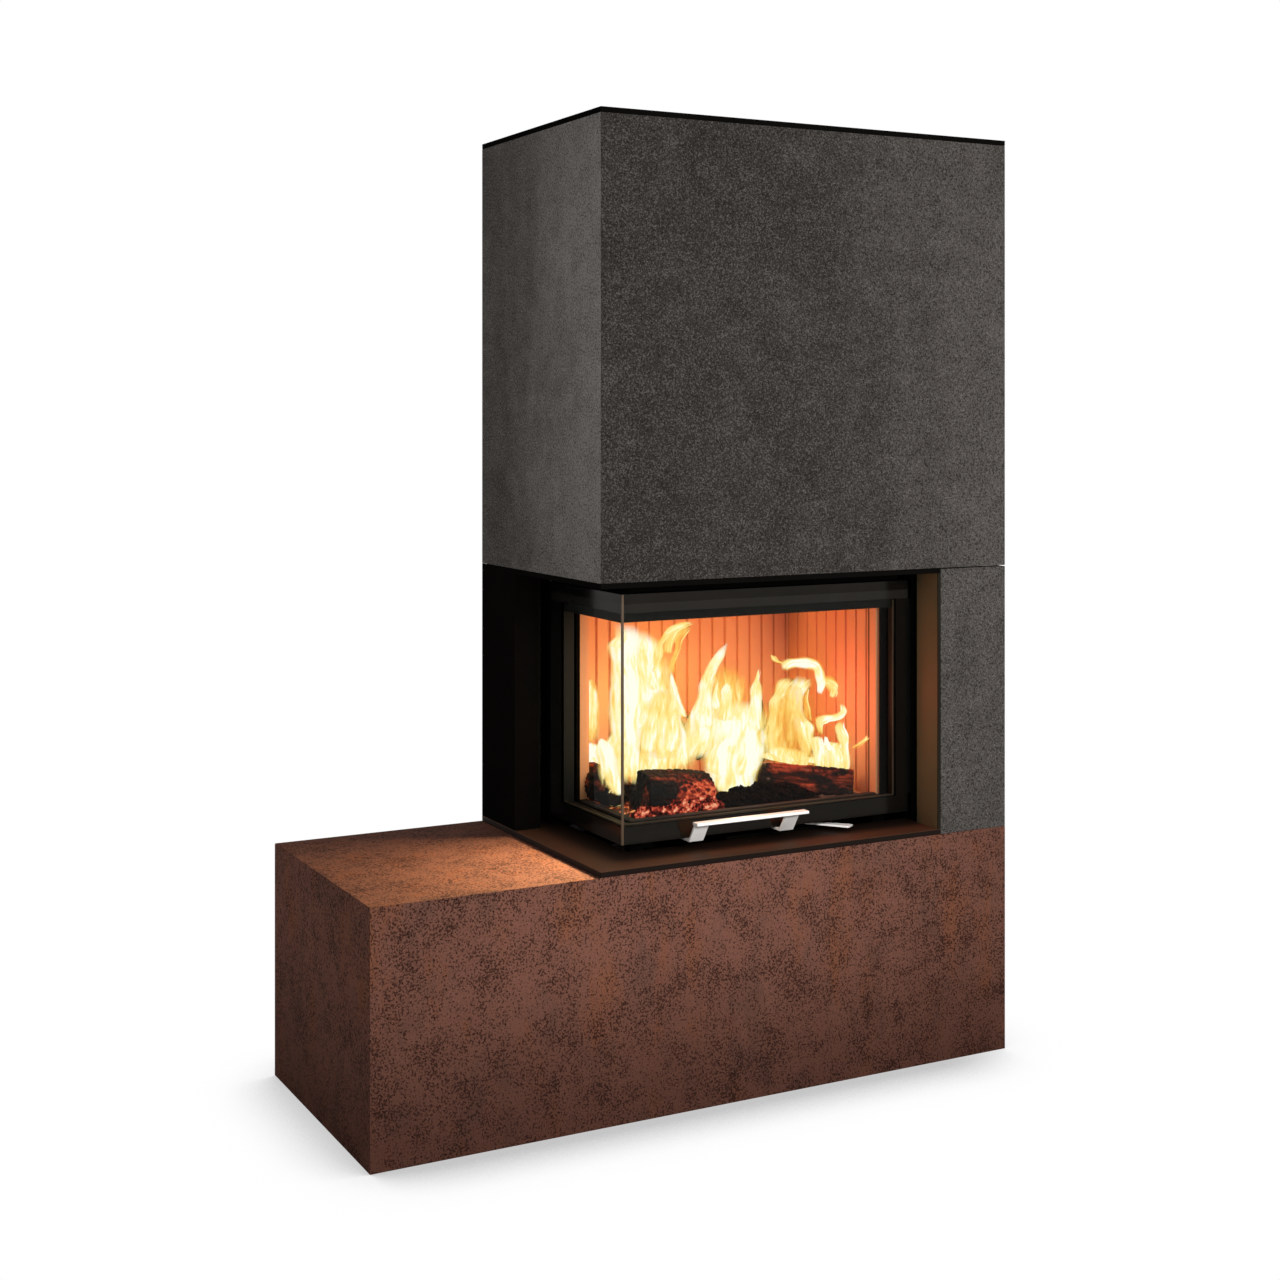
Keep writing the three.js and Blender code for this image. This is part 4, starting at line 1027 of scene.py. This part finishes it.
def charred_beech_wood():
    finish = Finish("charred_beech")
    grain = finish.attribute("grain", "Vector")
    crack, heat = finish.attribute("crack"), finish.attribute("ember_heat")
    fibres = finish.noise(finish.stretch(grain, 9, 120, 120), 1, 3, 0.6)
    burnt = finish.noise(finish.stretch(grain, 14, 26, 26), 1, 3, 0.6)
    wood = finish.blend(finish.span(fibres, 0.36, 0.66), srgb(46, 17, 12), srgb(178, 86, 62))
    coal = finish.blend(fibres, srgb(4, 8, 9), srgb(24, 20, 19))
    tone = finish.blend(finish.span(burnt, 0.39, 0.52), wood, coal)
    tone = finish.blend(crack * 0.7, tone, srgb(14, 10, 9))
    ash = finish.span(finish.noise(grain, 60, 3, 0.7), 0.62, 0.74) * 0.5
    tone = finish.blend(ash, tone, srgb(150, 138, 126))
    flicker = finish.noise(finish.stretch(grain, 30, 60, 60), 1, 3, 0.65)
    glow = finish.span(heat + flicker * 0.9 + crack * 0.3, 0.86, 1.4)
    ember = finish.ramp(
        glow,
        (0.0, (0, 0, 0, 1)),
        (0.25, (0.16, 0.008, 0.002, 1)),
        (0.55, (0.62, 0.07, 0.03, 1)),
        (1.0, (0.9, 0.26, 0.1, 1)),
    )
    return finish.coat(
        base_color=tone,
        roughness=0.72 + 0.2 * fibres,
        specular_ior_level=0.3,
        emission_color=ember,
        emission_strength=1.0,
        normal=finish.bump(fibres, 0.0012),
    )


charred_beech = charred_beech_wood()
split_log("beech_log_left", "log_left", (-0.067, -0.015, 0.592), (-0.069, 0.15, 0.589), 0.046, 2.6, 0.4)
split_log("beech_log_centre", "log_centre", (-0.07, -0.092, 0.602), (0.098, -0.07, 0.582), 0.055, 4.4, 1.9)
split_log("beech_log_right", "log_right", (0.272, -0.008, 0.59), (0.463, -0.1, 0.573), 0.041, 0.9, 3.1)

# ------------------------------------------------------------------ embers
# Round the logs lies a low bed of ash with lumps of charcoal on it: black at the right, red hot at the
# left in front of the middle log. Nothing holds them but the cast sill.


def rough_lump(name, bumps, seed):
    """An angular lump of charcoal about a metre across, to be scaled down where it lies."""
    form = bmesh.new()
    bmesh.ops.create_icosphere(form, subdivisions=2, radius=0.5)
    for vert in form.verts:
        crag = noise.noise(vert.co * 2.3 + Vector((seed, 0, 0)))
        chip = noise.noise(vert.co * 5.1 + Vector((0, seed, 0)))
        vert.co *= 1 + bumps * (0.7 * crag + 0.4 * chip)
    return bpy.data.objects.new(name, mesh_from(form, name))


lump_sizes = {"Lump": "Object", "Density": "Float", "Smallest": "Float", "Largest": "Float"}
scatter = Recipe("scattered_lumps", lump_sizes | {"Seed": "Int", "Finish": "Material"})
spread = {"Mesh": scatter.start, "Density": scatter.size["Density"], "Seed": scatter.size["Seed"]}
lump_points = scatter.add("GeometryNodeDistributePointsOnFaces", {"distribute_method": "RANDOM"}, spread)
lump_shape = scatter.add("GeometryNodeObjectInfo", {}, {"Object": scatter.size["Lump"]}, "Geometry")
FULL_TURN = 6.2832
turns = {0: (0, 0, 0), 1: (FULL_TURN, FULL_TURN, FULL_TURN), "Seed": 5}
lump_turn = scatter.add("FunctionNodeRandomValue", {"data_type": "FLOAT_VECTOR"}, turns)
widths = {2: scatter.size["Smallest"], 3: scatter.size["Largest"], "Seed": 8}
lump_width = scatter.add("FunctionNodeRandomValue", {"data_type": "FLOAT"}, widths, 1)
strewn = {"Points": lump_points, "Instance": lump_shape, "Rotation": lump_turn, "Scale": lump_width}
scatter.end(scatter.add("GeometryNodeInstanceOnPoints", {}, strewn))


def heap(name, corners, top, rough, seed):
    """A low mound over a rectangle of the hearth, highest in its middle and closed underneath."""
    (x0, y0), (x1, y1) = corners
    columns, rows = 60, 34
    points, faces = [], []
    for i in range(columns + 1):
        for j in range(rows + 1):
            u, v = i / columns, j / rows
            crown = (math.sin(math.pi * u) * math.sin(math.pi * v)) ** 0.5
            lift = noise.noise(Vector((u * 7 + seed, v * 5, seed))) * rough
            lift += noise.noise(Vector((u * 23, v * 16 + seed, 0))) * rough * 0.45
            height = max(0.0003, (top + lift) * crown)
            points.append((x0 + (x1 - x0) * u, y0 + (y1 - y0) * v, HEARTH_TOP + height))
    for i in range(columns):
        for j in range(rows):
            a = i * (rows + 1) + j
            faces.append((a, a + rows + 1, a + rows + 2, a + 1))
    edge = [i * (rows + 1) for i in range(columns + 1)]
    edge += [columns * (rows + 1) + j for j in range(1, rows + 1)]
    edge += [i * (rows + 1) + rows for i in range(columns - 1, -1, -1)]
    edge += range(rows - 1, 0, -1)
    under, count = len(points), len(edge)
    points += [(*points[index][:2], HEARTH_TOP) for index in edge]
    for k in range(count):
        n = (k + 1) % count
        faces.append((edge[k], under + k, under + n, edge[n]))
    faces.append(tuple(under + k for k in reversed(range(count))))
    mesh = mesh_of(name, points, faces=faces)
    mesh.shade_smooth()
    return mesh


def coal(name, hot):
    """Charcoal: black with grey ash, or red hot in its hollows where `hot` is near 1."""
    finish = Finish(name)
    crag = finish.noise(finish.at, 190, 3, 0.65)
    ash = finish.span(finish.noise(finish.at, 90, 3, 0.7), 0.56, 0.7)
    tone = finish.blend(crag, srgb(3, 7, 9), srgb(16, 16, 17))
    tone = finish.blend(ash * 0.12, tone, srgb(120, 112, 104))
    looks = {"roughness": 0.85, "specular_ior_level": 0.08, "normal": finish.bump(crag, 0.0015)}
    if hot:
        pulse = finish.noise(finish.at, 75, 4, 0.7)
        looks["emission_color"] = finish.ramp(
            finish.span(pulse, 0.62 - 0.22 * hot, 0.72 - 0.04 * hot),
            (0.0, (0.012, 0.002, 0.001, 1)),
            (0.3, (0.26, 0.016, 0.01, 1)),
            (0.62, (0.76, 0.13, 0.065, 1)),
            (1.0, (1.0, 0.5, 0.3, 1)),
        )
        looks["emission_strength"] = 1.0
    return finish.coat(base_color=tone, **looks)


def ash_bed():
    finish = Finish("ash_bed")
    flake = finish.noise(finish.at, 120, 4, 0.7)
    tone = finish.blend(flake, srgb(46, 40, 37), srgb(128, 116, 104))
    spark = finish.span(finish.noise(finish.at, 60, 4, 0.7), 0.5, 0.66)
    left = finish.span(finish.axis("X"), 0.1, 0.24, 1.0, 0.0)
    stops = (0.0, (0, 0, 0, 1)), (0.4, (0.7, 0.08, 0.02, 1)), (1.0, (1.0, 0.6, 0.2, 1))
    return finish.coat(
        base_color=tone,
        roughness=0.95,
        emission_color=finish.ramp(spark * left, *stops),
        emission_strength=1.0,
        normal=finish.bump(flake, 0.002),
    )


lump = rough_lump("charcoal_lump", 0.55, 2.0)
# Each bed's finish, its height, how rough it lies and the seed of its bumps.
BEDS = {
    "ash": (ash_bed(), 0.006, 0.003, 1.0),
    "red": (coal("red_hot_charcoal", 0.95), 0.044, 0.012, 4.0),
    "black": (coal("black_charcoal", 0), 0.033, 0.012, 7.0),
}
for name, bed, corners in (
    ("ash_bed", "ash", ((-0.09, -0.138), (0.475, 0.195))),
    ("ember_heap", "red", ((-0.088, -0.1395), (0.124, -0.08))),
    ("charcoal_heap", "black", ((0.092, -0.139), (0.37, -0.035))),
):
    look, *form = BEDS[bed]
    mound = heap(name, corners, *form)
    mound.materials.append(look)
    dress(show(name, mound), "root")

# The loose lumps: how many a square metre, their least and greatest width, and the seed of their places.
for name, bed, corners, crowd, smallest, largest, seed in (
    ("ember_lumps", "red", ((-0.085, -0.136), (0.12, -0.086)), 42000.0, 0.005, 0.013, 3),
    ("charcoal_lumps", "black", ((0.1, -0.132), (0.36, -0.04)), 16000.0, 0.006, 0.02, 9),
    ("ash_crumbs", "ash", ((-0.085, -0.13), (0.47, 0.19)), 5000.0, 0.003, 0.010, 12),
):
    look, *form = BEDS[bed]
    sizes = {"Lump": lump, "Density": crowd, "Smallest": smallest, "Largest": largest}
    lumps = scatter.make(name, heap(name + "_ground", corners, *form), Seed=seed, Finish=look, **sizes)
    dress(lumps, "root")

# ------------------------------------------------------------------ flames
# Burning wood gas. Each flame is a closed body with a lens-shaped section between a left and a right
# edge, clear at both edges and brightest along its middle. Nothing fixes it but the fire below.

MILLIMETRE = 0.001
# Each flame's Y, its heat from 0 to 1, and its left and right edge points (x, z, x, z) from its root to
# its tip. Lengths are in millimetres.
FLAMES = {
    "haze_right": (20, 0.15, [
        (295, 620, 430, 600), (295, 670, 430, 660), (310, 720, 430, 715), (325, 770, 420, 765),
        (345, 800, 400, 800),
    ]),
    "haze_middle": (20, 0.1, [
        (120, 640, 290, 620), (120, 700, 290, 690), (140, 760, 280, 750), (160, 810, 260, 805),
        (180, 850, 230, 850),
    ]),
    "slope_front": (-35, 0.95, [
        (-105, 590, -75, 590), (-120, 630, -85, 630), (-130, 655, -90, 655), (-140, 680, -95, 685),
        (-135, 705, -115, 705), (-130, 715, -130, 715),
    ]),
    "mass_left": (-50, 0.85, [
        (-90, 630, 80, 615), (-90, 690, 80, 675), (-95, 750, 65, 730), (-95, 795, 40, 780),
        (-100, 845, 25, 830), (-95, 890, 10, 880), (-85, 920, 0, 910), (-85, 945, -30, 940),
    ]),
    "core_left": (-65, 1, [
        (-105, 620, -60, 615), (-110, 680, -60, 670), (-120, 755, -50, 740), (-120, 800, -45, 780),
        (-115, 840, -50, 830), (-115, 875, -60, 865), (-125, 910, -60, 905), (-110, 930, -60, 935),
        (-120, 960, -60, 955),
    ]),
    "fork_left": (-80, 0.7, [
        (-35, 850, -25, 850), (-25, 870, -15, 870), (-20, 895, -5, 890), (-20, 910, -5, 910),
        (-5, 930, 10, 925), (10, 945, 30, 935), (40, 955, 55, 945), (65, 955, 70, 950),
    ]),
    "fork_right": (-70, 0.45, [
        (10, 840, 25, 835), (15, 865, 30, 865), (25, 885, 35, 885), (30, 905, 40, 900),
        (30, 920, 45, 915), (45, 935, 60, 930), (65, 945, 70, 940),
    ]),
    "fork_pale": (-90, 0.35, [
        (-10, 890, 5, 890), (-10, 910, 10, 905), (0, 930, 25, 920), (15, 940, 40, 935),
        (40, 950, 60, 945),
    ]),
    "cloud": (-100, 0.5, [
        (-70, 675, 10, 670), (-70, 720, 20, 710), (-60, 765, 20, 755), (-40, 800, 15, 790),
        (-25, 820, 0, 820),
    ]),
    "mass_middle": (-60, 1, [
        (145, 575, 185, 570), (130, 600, 220, 580), (115, 635, 235, 615), (110, 670, 255, 660),
        (120, 700, 255, 690), (125, 735, 255, 725), (125, 755, 255, 750), (135, 780, 245, 770),
    ]),
    "small": (-85, 0.8, [
        (110, 740, 165, 735), (130, 765, 160, 765), (135, 785, 160, 785), (135, 800, 160, 800),
        (145, 815, 155, 810), (150, 820, 150, 815),
    ]),
    "blade": (-85, 1, [
        (200, 710, 240, 710), (205, 750, 235, 745), (210, 775, 235, 775), (210, 800, 235, 800),
        (220, 820, 230, 820), (225, 835, 230, 835), (230, 845, 230, 845),
    ]),
    "stand": (10, 0.85, [
        (405, 620, 420, 620), (400, 645, 430, 640), (390, 670, 430, 670), (385, 700, 430, 690),
        (375, 725, 405, 715), (370, 745, 400, 740), (370, 770, 405, 765), (380, 795, 425, 785),
        (395, 810, 430, 795),
    ]),
    "strand": (5, 0.5, [
        (405, 710, 420, 700), (405, 735, 420, 730), (405, 755, 415, 755), (410, 780, 420, 780),
    ]),
    "hook": (10, 0.8, [
        (355, 815, 345, 840), (375, 825, 365, 845), (395, 825, 390, 845), (420, 820, 415, 845),
        (435, 815, 445, 835), (440, 800, 460, 810), (445, 780, 465, 785), (445, 765, 460, 770),
        (450, 760, 455, 760),
    ]),
    "hook_outer": (5, 0.6, [
        (460, 785, 465, 805), (465, 775, 485, 795), (475, 765, 495, 775), (475, 755, 490, 760),
        (480, 750, 485, 750),
    ]),
    "wisp": (5, 0.45, [
        (350, 840, 345, 835), (335, 845, 330, 840), (325, 855, 320, 845), (315, 860, 315, 860),
    ]),
    "arm": (15, 0.5, [
        (310, 635, 345, 635), (305, 675, 340, 670), (315, 710, 340, 705), (320, 730, 345, 730),
        (320, 750, 345, 750), (335, 770, 360, 765), (340, 785, 370, 780), (350, 800, 380, 790),
        (375, 805, 380, 800),
    ]),
    "fringe": (5, 0.6, [
        (285, 630, 430, 595), (290, 645, 425, 615), (300, 660, 420, 635),
    ]),
    "low_right": (-60, 1, [
        (395, 605, 415, 605), (390, 635, 415, 630), (385, 660, 415, 650), (385, 675, 410, 665),
        (395, 680, 405, 680),
    ]),
    "low_far": (-60, 0.8, [
        (415, 605, 465, 595), (415, 630, 465, 620), (415, 655, 460, 645), (435, 665, 460, 660),
    ]),
    "peak": (-70, 1, [
        (405, 650, 435, 645), (410, 665, 425, 660), (410, 680, 415, 680),
    ]),
    "far_strand": (-55, 0.6, [
        (460, 595, 485, 595), (460, 625, 485, 625), (460, 655, 480, 650), (455, 675, 480, 675),
        (450, 695, 470, 695), (460, 710, 470, 705),
    ]),
    "ring": (-60, 0.55, [
        (400, 680, 410, 685), (395, 700, 410, 705), (395, 720, 415, 705), (415, 725, 425, 710),
        (440, 725, 445, 710), (460, 730, 465, 715), (460, 745, 475, 730), (460, 750, 465, 745),
    ]),
    "spark": (-120, 0.3, [
        (445, 655, 450, 660), (465, 660, 460, 665), (485, 670, 480, 675), (505, 680, 495, 685),
        (505, 690, 500, 690),
    ]),
    "tall": (-30, 1, [
        (65, 640, 120, 655), (80, 705, 155, 710), (90, 740, 145, 750), (110, 780, 140, 785),
        (115, 810, 145, 810), (135, 850, 155, 840), (160, 880, 175, 870), (185, 900, 185, 900),
    ]),
    "between": (0, 1, [
        (-95, 560, -65, 555), (-105, 605, -60, 600), (-115, 645, -60, 635), (-105, 680, -60, 670),
        (-95, 700, -60, 700), (-80, 725, -65, 725),
    ]),
    "arch": (60, 0.8, [
        (-90, 640, -70, 635), (-80, 670, -65, 665), (-70, 685, -55, 675), (-45, 700, -45, 700),
    ]),
    "low_left": (170, 0.9, [
        (-85, 610, -25, 600), (-85, 640, -25, 630), (-85, 660, -30, 650), (-75, 670, -40, 665),
    ]),
    "pale_left": (170, 0.5, [
        (-85, 670, -40, 665), (-85, 720, -35, 715), (-85, 755, -35, 755), (-80, 790, -40, 790),
        (-75, 810, -40, 810),
    ]),
}


def spline(rows, share):
    """The row of values at a share of the way from the first row to the last, on smooth curves."""
    spans = len(rows) - 1
    k = min(int(share * spans), spans - 1)
    t = share * spans - k
    nearest = rows[max(k - 1, 0)], rows[k], rows[k + 1], rows[min(k + 2, spans)]
    values = []
    for before, first, second, after in zip(*nearest):
        bend = 2 * before - 5 * first + 4 * second - after
        twist = 3 * first - before - 3 * second + after
        values.append(first + 0.5 * t * ((second - before) + t * (bend + t * twist)))
    return values


def part_of(row, low, high):
    """The two points that stand at shares of the way from a row's left edge to its right."""
    x0, z0, x1, z1 = row
    return x0 + (x1 - x0) * low, z0 + (z1 - z0) * low, x0 + (x1 - x0) * high, z0 + (z1 - z0) * high


def add_flame(form, rows, y, heat, seed):
    """One flame's rings, joined into the mesh `form`. A UV keeps the shares across and along it, and an
    attribute keeps the same two as lengths in metres, for patterns that run with the gas."""
    across, along = 16, 10 * (len(rows) - 1)
    fullness, flatness, deepest = 0.68, 0.42, 24
    uv = form.loops.layers.uv["shares"]
    hot, flow = form.verts.layers.float["fire_heat"], form.verts.layers.float_vector["flow"]
    shares, rings = {}, []
    travelled, last = 0, None
    for step in range(along + 1):
        share = step / along
        x0, z0, x1, z1 = spline(rows, share)
        middle, half = Vector(((x0 + x1) / 2, (z0 + z1) / 2)), Vector((x1 - x0, z1 - z0)) * fullness
        travelled += (middle - last).length if last else 0
        last = middle
        depth = min(flatness * half.length, deepest)
        ring = []
        for k in range(across):
            angle = 2 * math.pi * k / across
            side, out = math.cos(angle), math.sin(angle)
            x, z = middle + half * side
            vert = form.verts.new(Vector((x, y + depth * out, z)) * MILLIMETRE)
            vert[hot] = heat
            vert[flow] = Vector((half.length * side, travelled, seed * 400)) * MILLIMETRE
            shares[vert] = ((side + 1) / 2, share)
            ring.append(vert)
        rings.append(ring)
    faces = [list(reversed(rings[0])), rings[-1]]
    for lower, upper in zip(rings, rings[1:]):
        for k in range(across):
            n = (k + 1) % across
            faces.append((lower[k], lower[n], upper[n], upper[k]))
    for corners in faces:
        face = form.faces.new(corners)
        face.smooth = True
        for loop in face.loops:
            loop[uv].uv = shares[loop.vert]


def tongues_over(rows, y, count, seed):
    """Narrow pointed flames that rise in front of a broad one: the Y and the edge points of each."""
    chance = random.Random(seed)
    steps, lead, stagger = 5, 20, 5
    for number in range(count):
        root, rise = chance.uniform(0, 0.5), chance.uniform(0.3, 0.55)
        start = (number + chance.uniform(0.1, 0.9)) / count
        drift, width = chance.uniform(-0.14, 0.22), chance.uniform(0.5, 0.9) / count
        tongue = []
        for step in range(steps + 1):
            share = step / steps
            row = spline(rows, min(root + rise * share, 1))
            centre = start + drift * share**2
            half = width * (1.02 - share**1.7) * (0.6 + share * (1 - share))
            tongue.append(part_of(row, centre - half, centre + half))
        yield y - lead - stagger * (number % 2), tongue


def burning_gas():
    finish = Finish("flame")
    shares = finish.add("ShaderNodeUVMap", {"uv_map": "shares"})
    across, along = finish.axis("X", shares), finish.axis("Y", shares)
    heat, flow = finish.attribute("fire_heat"), finish.attribute("flow", "Vector")
    broad = finish.noise(finish.stretch(flow, 26, 10, 1), 1, 2, 0.5, 0.7)
    fine = finish.noise(finish.stretch(flow, 90, 20, 1), 1, 3, 0.55, 0.5)
    middle = 4 * across * (1 - across)
    root = finish.span(along, 0.0, 0.14, 0.5, 0.0)
    tip = finish.span(along, 0.6, 1.0, 0.0, 0.25)
    torn = 1.5 * (broad - 0.5) + 1.0 * (fine - 0.5)
    density = middle * (0.65 + 0.95 * heat) + torn - 0.12 - root - tip
    ends = finish.span(along, 0.0, 0.06) * finish.span(along, 0.8, 1.0, 1.0, 0.0)
    cover = finish.span(density, -0.05, 1.05) * finish.span(middle, 0.0, 0.95) * ends
    color = finish.ramp(
        0.17 + 0.34 * density + 0.36 * heat + 0.6 * (broad - 0.5) + 0.9 * (fine - 0.5),
        (0.2, srgb(246, 168, 66)),
        (0.42, srgb(251, 202, 96)),
        (0.6, srgb(254, 228, 138)),
        (0.78, srgb(255, 246, 182)),
        (0.94, srgb(255, 255, 242)),
    )
    gas = finish.coat(
        base_color=(0, 0, 0, 1),
        roughness=1.0,
        specular_ior_level=0.0,
        alpha=cover,
        emission_color=color,
        emission_strength=1.2,
    )
    gas.cycles.emission_sampling = "NONE"
    return gas


def strand_in(rows, y, seed):
    """A thin thread of gas that winds up inside a narrow flame: its Y and its edge points."""
    chance = random.Random(seed)
    turn, waves = chance.uniform(0, 6.28), chance.uniform(2.5, 5)
    steps, lead = 2 * len(rows) - 2, 9
    strand = []
    for step in range(steps + 1):
        share = step / steps
        centre = 0.5 + 0.3 * math.sin(turn + waves * share)
        half = 0.2 * (1 - 0.6 * share)
        strand.append(part_of(spline(rows, share), centre - half, centre + half))
    return y - lead, strand


# Each flame has a less hot body behind its tongues or its strand. A broad and faint one is only that.
NARROW, TONGUE_PITCH, FAINT = 60, 34, 0.3
BODY_HEAT = 0.8
flame_form = bmesh.new()
flame_form.loops.layers.uv.new("shares")
flame_form.verts.layers.float.new("fire_heat")
flame_form.verts.layers.float_vector.new("flow")
for number, (y, heat, rows) in enumerate(FLAMES.values()):
    add_flame(flame_form, rows, y, heat * BODY_HEAT, number)
    breadth = rows[1][2] - rows[1][0]
    if breadth < NARROW:
        inner = [strand_in(rows, y, number)]
    else:
        inner = tongues_over(rows, y, int(breadth / TONGUE_PITCH) if heat > FAINT else 0, number)
    for near, tongue in inner:
        add_flame(flame_form, tongue, near, heat, number + 0.5)
bmesh.ops.recalc_face_normals(flame_form, faces=flame_form.faces)
flame_mesh = mesh_from(flame_form, "flames")
flame_mesh.materials.append(burning_gas())
flames = show("flames", flame_mesh)
flames.visible_shadow = False
dress(flames, "root")

# The fire lights its chamber, and the bench through the side pane. Two weak lamps tint the lining.
hang_lamp("fire_left", "POINT", (0.1, -0.02, 0.8), 1.3, (1, 0.36, 0.18), size=0.05)
hang_lamp("fire_right", "POINT", (0.36, -0.08, 0.76), 0.85, (1, 0.16, 0.13), size=0.05)
bench_glow = hang_lamp(
    "bench_glow", "AREA", (0.05, -0.05, 0.76), 12.4, (1, 0.8, 0.48), aim=(-0.4, -0.34, 0.49), size=0.24
)
bench_glow.data.spread = math.radians(110)
light_only(bench_glow, [bench_board])
for name, place, watts in (("haze_left", (0.09, 0.12, 0.78), 0.28), ("haze_right", (0.34, 0.13, 0.7), 0.06)):
    light_only(hang_lamp(name, "POINT", place, watts, (0.6, 1, 0.1), size=0.03), lining)
